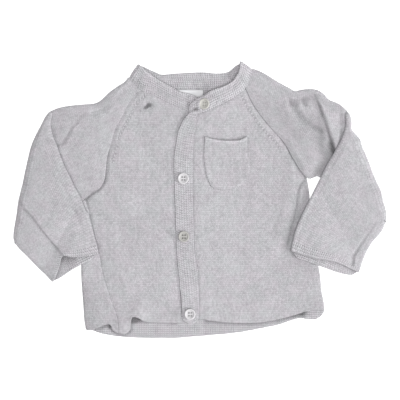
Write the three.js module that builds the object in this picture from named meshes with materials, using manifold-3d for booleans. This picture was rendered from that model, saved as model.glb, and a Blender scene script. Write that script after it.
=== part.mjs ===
// A baby's knitted raglan cardigan, laid out flat on its back with both forearms folded in over it.
// Units are millimetres, +Z is up, the cloth rests on z = 0 and the origin is under the middle.
// The wearer's right is at -X, and the neck is at +Y.
import * as THREE from "three";
import Module from "manifold-3d";

const wasm = await Module();
wasm.setup();

// Sizes that drive the garment
const CLOTH = 1.5; // thickness of the knit
const SEAM_GAP = 0.3; // gap between pieces that are sewn together
const NECK_GAP = 0.4; // the same where the neckband meets the panels
const BACK_MID = CLOTH / 2; // middle of the back's cloth above the floor
const FRONT_MID = 2.9; // middle of the fronts' cloth
const SIDE_EDGE_MID = 2.55; // the fronts' side edge comes down onto the back
const SIDE_EDGE_WIDTH = 6;
const PLACKET_STEP = 2; // the buttonhole band lies this far above the button band
const PLACKET_SLOPE_START = 4; // where the left front starts to come down beside the band
const PLACKET_SLOPE_END = 20;
const POCKET_STEP = CLOTH + SEAM_GAP;
const TUBE_HALF = 1.1; // half the distance between a sleeve's two layers
const TUBE_CENTRE = BACK_MID + TUBE_HALF;
const TUBE_OUTER = TUBE_HALF + CLOTH / 2;
const TUBE_INNER = TUBE_HALF - CLOTH / 2;
const FOLD_RADIUS = 2.4; // bend of a sleeve's middle where the forearm folds over
const FOLD_AXIS = TUBE_CENTRE + FOLD_RADIUS;
const FOLD_REACH = FOLD_RADIUS + TUBE_OUTER;
const FOREARM_CENTRE = FOLD_AXIS + FOLD_RADIUS;
const FOREARM_DROP = 4.65; // the forearm comes down this far where nothing lies under it
const DROP_WIDTH = 40;
// A sleeve's folds fade out towards its edges, in ring divisions, and towards the folded line
const EDGE_FADE = 1.5;
const FOLDS_FADE_FROM = 0.7;
const FOREARM_FOLDS_FROM = 0.25;
const WRAP_RADIUS = (FRONT_MID - BACK_MID) / 2; // the back's fold at the wearer's right side
const BUTTON_RADIUS = 5.6;
const BUTTON_THICK = 2.4;
const BUTTON_FOOT = 2.6; // radius of its flat foot
const BUTTON_HOLE_RADIUS = 0.75;
const BUTTON_HOLE_OFFSET = 1.1; // each hole lies this far to both sides of the middle
const BUTTON_SEAT = 0.3; // a button's clearance over the cloth
const LABEL_THICK = 1;
const LABEL_MID = CLOTH + SEAM_GAP + LABEL_THICK / 2;

// Divisions of the cloth walls
const RAGLAN_PARTS = 10;
const NECK_PARTS = 2;
const SIDE_PARTS = 10;
const FRONT_COLUMNS = 12;
const BACK_COLUMNS = 22;
const WRAP_COLUMNS = 6;
const UPPER_ARM_PARTS = 8;
const FOREARM_PARTS = 12;
const TURN_PARTS = 4;
const BAND_PARTS = 20;
const BAND_COLUMNS = 5;
const POCKET_COLUMNS = 7;
const POCKET_ROWS = 8;
const BUTTON_SIDES = 24;
const HOLE_SIDES = 8;

// Places are read on a board 400 mm square: across from its left edge, down from its top edge
const BOARD_ACROSS = 199.5;
const BOARD_DOWN = 200;
const at = ([across, down]) => new THREE.Vector2(across - BOARD_ACROSS, BOARD_DOWN - down);
const places = (rows) => rows.map(at);

// Seams: across, down
const RAGLAN_RIGHT = [
  [141, 90], [131, 100], [122.5, 116], [115, 130], [111, 144], [107.5, 156],
  [105.8, 170], [104, 181], [100, 187.5], [92, 192.8], [84, 199],
];
const RAGLAN_LEFT = [
  [245, 88], [252, 103], [262, 117.5], [273, 130.5], [280.5, 138.5], [286.5, 146.5],
  [291.5, 156], [295.5, 162.5], [299, 168.5], [302.5, 173], [306.5, 177],
];
const SHOULDER_NECK_RIGHT = [[130.3, 78.9], [135.5, 84], [141, 90]];
const SHOULDER_NECK_LEFT = [[251.5, 71], [249, 79], [245, 88]];
const NECK_RIGHT = [[141, 90], [150, 92.5], [160, 98], [170, 103], [180, 107.5], [188.5, 111]];
const NECK_LEFT = [[197, 113.5], [206, 111], [216, 106.2], [226, 101.5], [236, 95.5], [245, 88]];
const NECK_BACK = [
  [141, 90], [150, 90.3], [160, 90.3], [175, 90.2], [190, 90.2], [206, 90.2], [218, 89.7],
  [232, 88.7], [245, 88],
];
const SIDE_SEAM_RIGHT = [
  [118.5, 333], [117.5, 319], [111.5, 301], [107, 288], [103, 274], [99, 253], [95, 238],
  [92, 225], [89, 214], [86, 206], [84, 199],
];
const PLACKET_SEAM = [
  [198.4, 319.5], [198.5, 295], [197.5, 270], [194.5, 253], [193.5, 220], [193, 176], [193, 153],
  [194, 137], [195.5, 126], [197, 113.5],
];
const PLACKET_EDGE = [
  [183.3, 320.5], [182, 317], [181, 303], [179.5, 282], [177, 257], [176, 232], [174.5, 187],
  [174, 172], [174.5, 153], [176.5, 141], [180, 126], [186, 117], [190.5, 112.4],
];
const PLACKET_FOOT = [[183.3, 320.5], [187.5, 323.4], [194, 323.4], [198.4, 319.5]];
const CENTRE_RIGHT = [
  [186, 323.6], [183.5, 303], [182, 282], [180, 257], [179, 232], [177.5, 187], [177, 172],
  [177.5, 153], [179.5, 141], [183, 126], [187, 117], [188.5, 111],
];

// Free edges and folded outlines: across, down
const BACK_HEM = [
  [87.6, 328.6], [100, 333], [111, 335.6], [124, 337.3], [140, 338], [160, 338], [175, 337.8],
  [190, 337], [215, 335], [240, 332.5], [260, 328.5], [280, 324], [292, 320.3], [300, 317.8],
  [308, 318.8], [316, 318.5], [322.6, 312.6],
];
const FRONT_RIGHT_HEM = [
  [118.5, 333], [125, 334], [130, 330.5], [131.5, 323.5], [134, 317], [139, 317.5], [144, 321],
  [150, 322.3], [157, 322.6], [164, 323], [171, 323.2], [178.5, 323.4], [186, 323.6],
];
const FRONT_LEFT_HEM = [
  [198.4, 319.5], [203, 319.4], [211, 320.6], [223, 322], [238, 323], [252, 323], [266, 321.6],
  [279, 319], [290, 316.3], [299, 313.6], [306, 311.3], [315, 310.5], [323, 310.5],
];
const WRAP_HEM = [[90.5, 329.4], [97, 327.6], [104, 324.4], [109, 323.6], [111.5, 329.5], [118.5, 333]];
const WRAP_OUTLINE = [
  [85.6, 329], [84, 318], [83, 303], [81.8, 288], [81, 273], [81.4, 255], [82, 235], [82.4, 215],
  [84, 199],
];
const SIDE_LEFT = [
  [323, 310.5], [322.5, 300], [321, 290], [320, 280], [318.6, 268], [316.8, 260], [314.5, 245],
  [312.3, 230], [310.5, 215], [309, 200], [307.8, 188], [306.5, 177],
];

// Sleeves: across, down. The outlines are the outer faces of the cloth, the other rows its middle
const SLEEVE_RIGHT = {
  neck: SHOULDER_NECK_RIGHT,
  raglan: RAGLAN_RIGHT,
  shoulder: [
    [129, 77.2], [124, 82.5], [118, 86.5], [111, 91.3], [96, 103.3], [85, 104.5], [76, 105],
    [66, 106.3], [58, 107.7], [50.5, 111.5],
  ],
  fold: [
    [51.5, 110.6], [46, 117], [42, 124], [38, 131], [34, 139.5], [31, 147], [29, 155], [27, 163],
    [25, 172], [23, 183], [21, 192], [19, 200], [17.5, 207], [16.5, 215], [15, 224], [13.8, 232],
    [13.6, 239], [14.4, 242.6],
  ],
  armpit: [86.4, 196.6],
  underarm: [[86.4, 196.6], [78, 201], [60, 213], [40, 227], [18.7, 242.4]],
  innerEdge: [
    [52.5, 114], [51.5, 120], [51.5, 128], [53.5, 136], [57, 145], [61, 156], [65, 166],
    [70, 176], [75, 187], [79, 194], [82, 200], [85, 208], [88.5, 215], [91.5, 224], [95, 237],
    [97.5, 246], [98.8, 253.5],
  ],
  outerEdge: [[14.5, 243], [20, 249], [26, 255], [32, 260.5], [40, 269], [46, 274.5], [52.5, 281]],
  cuffAbove: [
    [96.9, 253.6], [85, 255.6], [73, 256.6], [62.5, 255.5], [60.3, 263], [57.5, 271.5],
    [53.4, 279.2],
  ],
  cuffBelow: [[96.9, 253.6], [92, 258.6], [80, 264.6], [69, 271.2], [60, 276.8], [53.4, 279.2]],
};
const SLEEVE_LEFT = {
  neck: SHOULDER_NECK_LEFT,
  raglan: RAGLAN_LEFT,
  shoulder: [
    [251.6, 68.8], [260, 71.5], [268, 76], [275.5, 81], [289, 88], [295.6, 91.5], [300, 90.3],
    [306, 89.3], [312, 89.2], [317.5, 90.3], [323, 94.5], [328.5, 100], [339, 104.5],
    [344.5, 109], [348.5, 114], [351, 121], [351.6, 130],
  ],
  fold: [
    [352.6, 131.2], [355.5, 134.5], [360, 140], [361.5, 146], [366, 155], [369, 163],
    [372, 172.5], [376, 182], [380.7, 191], [383, 201], [385.5, 210], [386.3, 216], [385.4, 221.2],
  ],
  armpit: [304.4, 174.6],
  underarm: [
    [304.4, 174.6], [310, 175], [316, 173.6], [325, 178.5], [345, 196], [365, 211], [380.9, 221.8],
  ],
  innerEdge: [
    [350, 128], [340, 142], [334.5, 151], [327, 164], [320, 178], [314, 190], [309, 200],
    [301, 216], [294, 234], [290.5, 250.5],
  ],
  outerEdge: [[385, 223], [381, 230], [372, 241], [367, 249], [364, 255], [361, 264], [358.4, 271.6]],
  cuffAbove: [[292.4, 251], [304, 255], [316, 258], [327, 259.8], [337, 262], [347, 266.5], [356.6, 271]],
  cuffBelow: [
    [292.4, 251], [296, 256.5], [306, 260.6], [316, 264], [327, 268], [338, 271.6], [348, 273.4],
    [356.6, 271],
  ],
};

// Folds that stand in the cloth: across and down of both ends, half-width, height
const FRONT_FOLDS = [
  { from: [180, 110], to: [204, 110], width: 24, height: 1.1 },
  { from: [121, 327], to: [121, 321], width: 9, height: 1.5 },
  { from: [136, 320], to: [139, 308], width: 8, height: 2 },
  { from: [150, 225], to: [126, 300], width: 12, height: 0.7 },
  { from: [258, 150], to: [262, 300], width: 14, height: 0.7 },
  { from: [226, 228], to: [232, 316], width: 12, height: 0.6 },
];
const SLEEVE_RIGHT_FOLDS = [
  { from: [64, 120], to: [72, 112], width: 8, height: 1.6 },
  { from: [90, 122], to: [78, 160], width: 10, height: 1.8 },
  { from: [96, 165], to: [92, 180], width: 8, height: 0.8 },
];
const SLEEVE_LEFT_FOLDS = [
  { from: [284, 98], to: [292, 120], width: 9, height: 1.6 },
  { from: [306, 104], to: [320, 128], width: 6, height: 2.6 },
  { from: [326, 108], to: [336, 134], width: 7, height: 3 },
  { from: [306, 140], to: [314, 165], width: 9, height: 1.2 },
];
const FOREARM_RIGHT_FOLDS = [
  { from: [58, 150], to: [78, 205], width: 9, height: 0.8 },
  { from: [44, 205], to: [72, 240], width: 15, height: 2 },
];
const FOREARM_LEFT_FOLDS = [
  { from: [352, 165], to: [332, 225], width: 16, height: 1.2 },
  { from: [338, 240], to: [322, 246], width: 10, height: 1.4 },
];

// The neckband: place of the sewn edge, place and height of the free edge
const BAND_FRONT_RIGHT = [
  { sewn: [200, 112.4], free: [202.5, 101.5], height: 4.1 },
  { sewn: [195, 112.2], free: [196.5, 102], height: 4.1 },
  { sewn: [188.5, 111], free: [189, 101.5], height: 4.3 },
  { sewn: [180, 107.5], free: [180, 94.5], height: 4.7 },
  { sewn: [170, 103], free: [170.5, 87.8], height: 5.3 },
  { sewn: [160, 98], free: [161, 82], height: 6 },
  { sewn: [150, 92.5], free: [152.5, 76.5], height: 6.8 },
  { sewn: [141, 90], free: [146, 71.2], height: 7.4 },
  { sewn: [135.5, 84], free: [142.4, 68], height: 7.8 },
];
const BAND_BACK = [
  { sewn: [135.5, 84], free: [143.6, 67.2], height: 3.4 },
  { sewn: [141, 90], free: [148, 69.4], height: 3.2 },
  { sewn: [150, 90.3], free: [153.5, 71.8], height: 3.2 },
  { sewn: [160, 90.3], free: [160.5, 74.9], height: 3 },
  { sewn: [175, 90.2], free: [172, 74.3], height: 2.8 },
  { sewn: [190, 90.2], free: [187, 73.4], height: 2.8 },
  { sewn: [206, 90.2], free: [203, 72.9], height: 2.8 },
  { sewn: [218, 89.7], free: [218, 74], height: 3 },
  { sewn: [232, 88.7], free: [229, 72.8], height: 3.2 },
  { sewn: [245, 88], free: [235.5, 68.4], height: 3.4 },
  { sewn: [249, 79], free: [238.4, 66.6], height: 3.6 },
];
const BAND_FRONT_LEFT = [
  { sewn: [249, 79], free: [239.6, 69.4], height: 8 },
  { sewn: [245, 88], free: [237, 75.5], height: 7.6 },
  { sewn: [236, 95.5], free: [231.5, 82.5], height: 7 },
  { sewn: [226, 101.5], free: [222, 87.3], height: 6.7 },
  { sewn: [216, 106.2], free: [211.5, 91], height: 6.5 },
  { sewn: [206, 111], free: [203.5, 96.5], height: 6.4 },
  { sewn: [197, 113.5], free: [196.5, 100.4], height: 6.4 },
  { sewn: [193, 113.1], free: [191.6, 103.8], height: 6.4 },
  { sewn: [190.2, 111.6], free: [189.6, 108], height: 6.3 },
];
const BAND_PEAKS = [
  { sewn: [130.3, 78.9], free: [140.6, 66.4], sewnWay: [-0.71, 0.7], freeWay: [-0.8, 0.6] },
  { sewn: [251.5, 71], free: [240.5, 65.3], sewnWay: [0.3, 0.95], freeWay: [0.1, 1] },
];

const POCKET = {
  mouth: [[204.7, 136.5], [209, 138], [220, 140], [229, 140.6], [240, 139.8], [247, 136.5]],
  foot: [[208, 180.5], [212, 187], [223, 190], [234, 188], [243, 183.5], [247.6, 178.5]],
  left: [[208, 180.5], [206, 172], [204.4, 162], [204.2, 150], [204.7, 136.5]],
  right: [[247.6, 178.5], [249, 170], [248.3, 162], [246.6, 154], [247, 136.5]],
};
const LABEL = { left: 177, right: 209, top: 91, bottom: 101 };
// Buttons: place and tilt about the garment's length
const BUTTONS = [
  { name: "button_1", place: [204, 104.2], tilt: 0.12 },
  { name: "button_2", place: [183.3, 178.5], tilt: 0 },
  { name: "button_3", place: [184, 236.5], tilt: -0.1 },
  { name: "button_4", place: [190, 314], tilt: 0 },
];

// Colours
const KNIT = new THREE.Color().setRGB(0.54, 0.52, 0.56);
const KNIT_BAND = new THREE.Color().setRGB(0.5, 0.49, 0.52);
const WHITE = new THREE.Color().setRGB(0.86, 0.85, 0.84);
const CREAM = new THREE.Color().setRGB(0.72, 0.7, 0.64);

const smooth = (from, to, value) => THREE.MathUtils.smoothstep(value, from, to);
const mix = (a, b, t) => a.clone().lerp(b, t);

// Points an even distance apart along straight runs between the rows
function spread(points, parts) {
  const lengths = [0];
  for (let i = 1; i < points.length; i++) {
    lengths.push(lengths[i - 1] + points[i].distanceTo(points[i - 1]));
  }
  const total = lengths[lengths.length - 1];
  const result = [];
  let k = 0;
  for (let n = 0; n <= parts; n++) {
    const goal = (total * n) / parts;
    while (k < points.length - 2 && lengths[k + 1] < goal) k++;
    result.push(mix(points[k], points[k + 1], (goal - lengths[k]) / (lengths[k + 1] - lengths[k])));
  }
  return result;
}

// A line moved sideways: to its left as it is walked for a positive distance
function shifted(points, distance) {
  return points.map((point, i) => {
    const before = points[Math.max(i - 1, 0)];
    const after = points[Math.min(i + 1, points.length - 1)];
    const way = after.clone().sub(before).normalize();
    return new THREE.Vector2(point.x - way.y * distance, point.y + way.x * distance);
  });
}

function distanceToRun(point, a, b) {
  const run = b.clone().sub(a);
  const along = THREE.MathUtils.clamp(point.clone().sub(a).dot(run) / run.lengthSq(), 0, 1);
  return point.distanceTo(a.clone().addScaledVector(run, along));
}

function distanceToLine(point, line) {
  let least = Infinity;
  for (let i = 1; i < line.length; i++) {
    least = Math.min(least, distanceToRun(point, line[i - 1], line[i]));
  }
  return least;
}

// Positive on the left of a line as it is walked
function sideOfLine(point, line) {
  let least = Infinity;
  let side = 1;
  for (let i = 1; i < line.length; i++) {
    const distance = distanceToRun(point, line[i - 1], line[i]);
    if (distance < least) {
      least = distance;
      const run = line[i].clone().sub(line[i - 1]);
      side = Math.sign(run.cross(point.clone().sub(line[i - 1]))) || 1;
    }
  }
  return side * least;
}

function foldLift(folds, point) {
  let lift = 0;
  for (const fold of folds) {
    const away = distanceToRun(point, at(fold.from), at(fold.to)) / fold.width;
    lift += fold.height * Math.exp(-away * away);
  }
  return lift;
}

// A surface blended from its four edges; the result's rows run from the first edge to the second
function blended(lower, upper, left, right) {
  const columns = lower.length - 1;
  const rows = left.length - 1;
  return left.map((leftPoint, j) =>
    lower.map((lowerPoint, i) => {
      const u = i / columns;
      const v = j / rows;
      const point = mix(lowerPoint, upper[i], v).add(mix(leftPoint, right[j], u));
      const corners = mix(mix(lower[0], lower[columns], u), mix(upper[0], upper[columns], u), v);
      return point.sub(corners);
    }),
  );
}

// The four edges of a panel moved inwards, each by its own distance
function insetEdges(edges, distances) {
  const { lower, upper, left, right } = edges;
  const inner = {
    lower: shifted(lower, distances.lower),
    right: shifted(right, distances.right),
    upper: shifted(upper, -distances.upper),
    left: shifted(left, -distances.left),
  };
  const corner = (a, b, point) => a.clone().add(b).sub(point);
  const ends = [
    ["lower", 0, "left", 0],
    ["lower", lower.length - 1, "right", 0],
    ["upper", 0, "left", left.length - 1],
    ["upper", upper.length - 1, "right", right.length - 1],
  ];
  for (const [first, i, second, j] of ends) {
    const point = corner(inner[first][i], inner[second][j], edges[first][i]);
    inner[first][i] = point;
    inner[second][j] = point.clone();
  }
  return inner;
}

function meshFrom(name, points, triangles, colour, roughness) {
  let volume = 0;
  for (const [a, b, c] of triangles) {
    volume += points[a].dot(points[b].clone().cross(points[c]));
  }
  const facing = volume < 0 ? triangles.map(([a, b, c]) => [a, c, b]) : triangles;
  const geometry = new THREE.BufferGeometry();
  geometry.setAttribute(
    "position",
    new THREE.Float32BufferAttribute(points.flatMap((p) => [p.x, p.y, p.z]), 3),
  );
  geometry.setIndex(facing.flat());
  const material = new THREE.MeshStandardMaterial({ color: colour, roughness, metalness: 0 });
  const mesh = new THREE.Mesh(geometry, material);
  mesh.name = name;
  return mesh;
}

const halves = ([a, b, c, d]) => [[a, b, c], [a, c, d]];

function gridQuads(rows, columns, first = 0) {
  const quads = [];
  for (let j = 0; j + 1 < rows; j++) {
    for (let i = 0; i + 1 < columns; i++) {
      const a = first + j * columns + i;
      quads.push([a, a + 1, a + columns + 1, a + columns]);
    }
  }
  return quads;
}

// A wall of even thickness about a surface of quads, closed round its edges
function cloth(name, points, quads, thickness = CLOTH, colour = KNIT) {
  const normals = points.map(() => new THREE.Vector3());
  const edges = new Map();
  for (const quad of quads) {
    const [a, b, c, d] = quad.map((k) => points[k]);
    const facing = c.clone().sub(a).cross(d.clone().sub(b)).normalize();
    quad.forEach((k) => normals[k].add(facing));
    quad.forEach((k, i) => edges.set(`${k}_${quad[(i + 1) % 4]}`, [k, quad[(i + 1) % 4]]));
  }
  const count = points.length;
  const solid = [];
  for (const side of [0.5, -0.5]) {
    points.forEach((point, k) => {
      solid.push(point.clone().addScaledVector(normals[k].clone().normalize(), thickness * side));
    });
  }
  const triangles = [];
  for (const quad of quads) {
    for (const [a, b, c] of halves(quad)) {
      triangles.push([a, b, c], [a + count, c + count, b + count]);
    }
  }
  for (const [a, b] of edges.values()) {
    if (edges.has(`${b}_${a}`)) continue;
    triangles.push(...halves([b, a, a + count, b + count]));
  }
  return meshFrom(name, solid, triangles, colour, 0.92);
}

// A wall of even thickness round a flattened tube, open at both ends
function clothTube(name, outer, inner, colour = KNIT) {
  const stations = outer.length;
  const around = outer[0].length;
  const points = [...outer.flat(), ...inner.flat()];
  const offset = stations * around;
  const triangles = [];
  for (let j = 0; j + 1 < stations; j++) {
    for (let k = 0; k < around; k++) {
      const next = (k + 1) % around;
      const quad = [j * around + k, j * around + next, (j + 1) * around + next, (j + 1) * around + k];
      for (const [a, b, c] of halves(quad)) {
        triangles.push([a, b, c], [a + offset, c + offset, b + offset]);
      }
    }
  }
  for (let k = 0; k < around; k++) {
    const next = (k + 1) % around;
    const last = (stations - 1) * around;
    triangles.push(...halves([next, k, k + offset, next + offset]));
    triangles.push(...halves([last + k, last + next, last + next + offset, last + k + offset]));
  }
  return meshFrom(name, points, triangles, colour, 0.92);
}

// Heights of the middle of the cloth
const sideLeft = spread(places(SIDE_LEFT), SIDE_PARTS);
const placketSeam = places(PLACKET_SEAM);

const rightFrontHeight = (point) => FRONT_MID + foldLift(FRONT_FOLDS, point);

function leftFrontHeight(point) {
  const fromSeam = distanceToLine(point, placketSeam);
  const fromSide = distanceToLine(point, sideLeft);
  const step = PLACKET_STEP * (1 - smooth(PLACKET_SLOPE_START, PLACKET_SLOPE_END, fromSeam));
  const edge = (FRONT_MID - SIDE_EDGE_MID) * (1 - smooth(0, SIDE_EDGE_WIDTH, fromSide));
  return FRONT_MID + foldLift(FRONT_FOLDS, point) + step - edge;
}

const placketHeight = (point) => rightFrontHeight(point) + PLACKET_STEP;
const raised = (grid, height) => grid.map((row) => row.map((p) => new THREE.Vector3(p.x, p.y, height(p))));

function panel(name, edges, gaps, height) {
  const inner = insetEdges(edges, gaps);
  const grid = raised(blended(inner.lower, inner.upper, inner.left, inner.right), height);
  return cloth(name, grid.flat(), gridQuads(grid.length, grid[0].length));
}

function frontRight() {
  const side = spread(places(SIDE_SEAM_RIGHT), SIDE_PARTS);
  const raglan = places(RAGLAN_RIGHT).reverse();
  const edges = {
    lower: places(FRONT_RIGHT_HEM),
    upper: spread(places(NECK_RIGHT), FRONT_COLUMNS),
    left: [...side, ...raglan.slice(1)],
    right: spread(places(CENTRE_RIGHT), SIDE_PARTS + RAGLAN_PARTS),
  };
  const gaps = { lower: 0, upper: NECK_GAP / 2, left: SEAM_GAP / 2, right: SEAM_GAP / 2 };
  return panel("front_right", edges, gaps, rightFrontHeight);
}

function frontLeft() {
  const raglan = places(RAGLAN_LEFT).reverse();
  const edges = {
    lower: places(FRONT_LEFT_HEM),
    upper: spread(places(NECK_LEFT), FRONT_COLUMNS),
    left: spread(placketSeam, SIDE_PARTS + RAGLAN_PARTS),
    right: [...sideLeft, ...raglan.slice(1)],
  };
  const gaps = { lower: 0, upper: NECK_GAP / 2, left: SEAM_GAP / 2, right: SEAM_GAP / 2 };
  return panel("front_left", edges, gaps, leftFrontHeight);
}

// The back lies flat; at the wearer's right it folds round the side up to the seam on top
function back() {
  const raglanRight = places(RAGLAN_RIGHT).reverse();
  const raglanLeft = places(RAGLAN_LEFT).reverse();
  const outline = spread(places(WRAP_OUTLINE), SIDE_PARTS);
  const foldLine = shifted(outline, -(WRAP_RADIUS + CLOTH / 2));
  foldLine[SIDE_PARTS] = raglanRight[0];
  const lower = spread(places(BACK_HEM), BACK_COLUMNS);
  foldLine[0] = lower[0].clone();
  const sideEdge = [lower[BACK_COLUMNS], ...sideLeft.slice(1)];
  const edges = {
    lower,
    upper: spread(places(NECK_BACK), BACK_COLUMNS),
    left: [...foldLine, ...raglanRight.slice(1)],
    right: [...sideEdge, ...raglanLeft.slice(1)],
  };
  const half = SEAM_GAP / 2;
  const inner = insetEdges(edges, { lower: 0, upper: NECK_GAP / 2, left: half, right: half });
  const grid = raised(blended(inner.lower, inner.upper, inner.left, inner.right), () => BACK_MID);
  const points = grid.flat();
  const columns = grid[0].length;
  const quads = gridQuads(grid.length, columns);

  const seam = shifted(spread(places(SIDE_SEAM_RIGHT), SIDE_PARTS), half);
  const hem = places(WRAP_HEM);
  hem[WRAP_COLUMNS - 1] = seam[0];
  const wrapRows = SIDE_PARTS;
  const wrapColumns = TURN_PARTS + WRAP_COLUMNS;
  const first = points.length;
  for (let j = 0; j < wrapRows; j++) {
    const start = inner.left[j];
    const way = inner.left[j].clone().sub(grid[j][1]).setY(0).normalize();
    for (let k = 1; k <= TURN_PARTS; k++) {
      const angle = (Math.PI * k) / TURN_PARTS;
      const reach = WRAP_RADIUS * Math.sin(angle);
      const height = BACK_MID + WRAP_RADIUS * (1 - Math.cos(angle));
      points.push(new THREE.Vector3(start.x + way.x * reach, start.y, height));
    }
    for (let k = 1; k <= WRAP_COLUMNS; k++) {
      const place = j === 0 ? hem[k - 1] : mix(start, seam[j], k / WRAP_COLUMNS);
      points.push(new THREE.Vector3(place.x, place.y, rightFrontHeight(place)));
    }
  }
  // The wrap's own points stand in rows beside the main rows' first points
  const wrapPoint = (j, k) => (k === 0 ? j * columns : first + j * wrapColumns + k - 1);
  for (let j = 0; j + 1 < wrapRows; j++) {
    for (let k = 0; k < wrapColumns; k++) {
      quads.push([wrapPoint(j, k + 1), wrapPoint(j, k), wrapPoint(j + 1, k), wrapPoint(j + 1, k + 1)]);
    }
  }
  return cloth("back", points, quads);
}

// A sleeve: a flat tube from the raglan seam, folded over a slanting line so the forearm lies on top
function sleeve(name, rows, outward, folds, forearmFolds, bodySide) {
  const across = NECK_PARTS + RAGLAN_PARTS;
  const hand = outward < 0 ? 1 : -1;
  const ring = [...places(rows.neck), ...places(rows.raglan).slice(1)];
  ring[across] = at(rows.armpit);
  const start = shifted(ring, -hand * (SEAM_GAP / 2));
  const foldLine = shifted(spread(places(rows.fold), across), hand * FOLD_REACH);
  const shoulder = shifted(spread(places(rows.shoulder), UPPER_ARM_PARTS), hand * TUBE_OUTER);
  shoulder[0] = start[0];
  shoulder[UPPER_ARM_PARTS] = foldLine[0];
  const underarm = spread(places(rows.underarm), UPPER_ARM_PARTS);
  underarm[0] = start[across];
  underarm[UPPER_ARM_PARTS] = foldLine[across];
  const innerEdge = shifted(spread(places(rows.innerEdge), FOREARM_PARTS), -hand * TUBE_OUTER);
  const outerEdge = shifted(spread(places(rows.outerEdge), FOREARM_PARTS), hand * TUBE_OUTER);
  const cuffs = [rows.cuffAbove, rows.cuffBelow].map((cuff) => spread(places(cuff), across));
  innerEdge[0] = foldLine[0];
  outerEdge[0] = foldLine[across];
  innerEdge[FOREARM_PARTS] = cuffs[0][0];
  outerEdge[FOREARM_PARTS] = cuffs[0][across];

  const upperArm = blended(start, foldLine, shoulder, underarm);
  const forearms = cuffs.map((cuff) => blended(foldLine, cuff, innerEdge, outerEdge));
  const underarmLine = places(rows.underarm);
  const fold = (line, i) => {
    const way = line[Math.min(i + 1, across)].clone().sub(line[Math.max(i - 1, 0)]).normalize();
    return new THREE.Vector2(way.y, -way.x).multiplyScalar(hand);
  };
  // Outward beyond an edge, in plan
  const beyond = (row, i, side) => row[i].clone().sub(row[side > 0 ? i - 1 : i + 1]).normalize();
  const edgeFade = (i) => smooth(0, EDGE_FADE, i) * smooth(0, EDGE_FADE, across - i);

  const forearmHeight = (point) => {
    const pastUnderarm = hand * sideOfLine(point, underarmLine);
    const pastBody = hand * sideOfLine(point, bodySide);
    const clear = Math.max(0, Math.min(pastUnderarm, pastBody) - 1);
    return FOREARM_CENTRE - FOREARM_DROP * smooth(0, DROP_WIDTH, clear);
  };

  // One point of the ring: i across, reach beyond the edge, offset up from the tube's middle
  const place = (station, i, side, reach, offset) => {
    const out = (row) => {
      const p = row[i].clone();
      return side === 0 ? p : p.addScaledVector(beyond(row, i, side), reach);
    };
    if (station <= UPPER_ARM_PARTS) {
      const p = out(upperArm[station]);
      const lift = side === 0 && offset > 0 ? foldLift(folds, p) * edgeFade(i) : 0;
      const fade = 1 - smooth(FOLDS_FADE_FROM, 1, station / UPPER_ARM_PARTS);
      return new THREE.Vector3(p.x, p.y, TUBE_CENTRE + offset + lift * fade);
    }
    if (station < UPPER_ARM_PARTS + TURN_PARTS) {
      const angle = (Math.PI * (station - UPPER_ARM_PARTS)) / TURN_PARTS;
      const radius = FOLD_RADIUS - offset;
      const p = out(foldLine).addScaledVector(fold(foldLine, i), radius * Math.sin(angle));
      return new THREE.Vector3(p.x, p.y, FOLD_AXIS - radius * Math.cos(angle));
    }
    const v = station - UPPER_ARM_PARTS - TURN_PARTS;
    const above = (1 - offset / Math.hypot(offset, reach)) / 2;
    const p = mix(out(forearms[1][v]), out(forearms[0][v]), side === 0 ? (offset < 0 ? 1 : 0) : above);
    const fade = smooth(0, FOREARM_FOLDS_FROM, v / FOREARM_PARTS);
    const lift = side === 0 && offset < 0 ? foldLift(forearmFolds, p) * edgeFade(i) * fade : 0;
    return new THREE.Vector3(p.x, p.y, forearmHeight(p) - offset + lift);
  };
  const ringAt = (station, radius) => {
    const points = [];
    for (let i = 0; i <= across; i++) points.push(place(station, i, 0, 0, radius));
    for (let k = 1; k < TURN_PARTS; k++) {
      const angle = Math.PI / 2 - (Math.PI * k) / TURN_PARTS;
      points.push(place(station, across, 1, radius * Math.cos(angle), radius * Math.sin(angle)));
    }
    for (let i = across; i >= 0; i--) points.push(place(station, i, 0, 0, -radius));
    for (let k = 1; k < TURN_PARTS; k++) {
      const angle = -Math.PI / 2 + (Math.PI * k) / TURN_PARTS;
      points.push(place(station, 0, -1, radius * Math.cos(angle), radius * Math.sin(angle)));
    }
    return points;
  };
  const stations = Array.from({ length: UPPER_ARM_PARTS + TURN_PARTS + FOREARM_PARTS + 1 }, (_, n) => n);
  const outer = stations.map((n) => ringAt(n, TUBE_OUTER));
  const inner = stations.map((n) => ringAt(n, TUBE_INNER));
  return clothTube(name, outer, inner);
}

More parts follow.
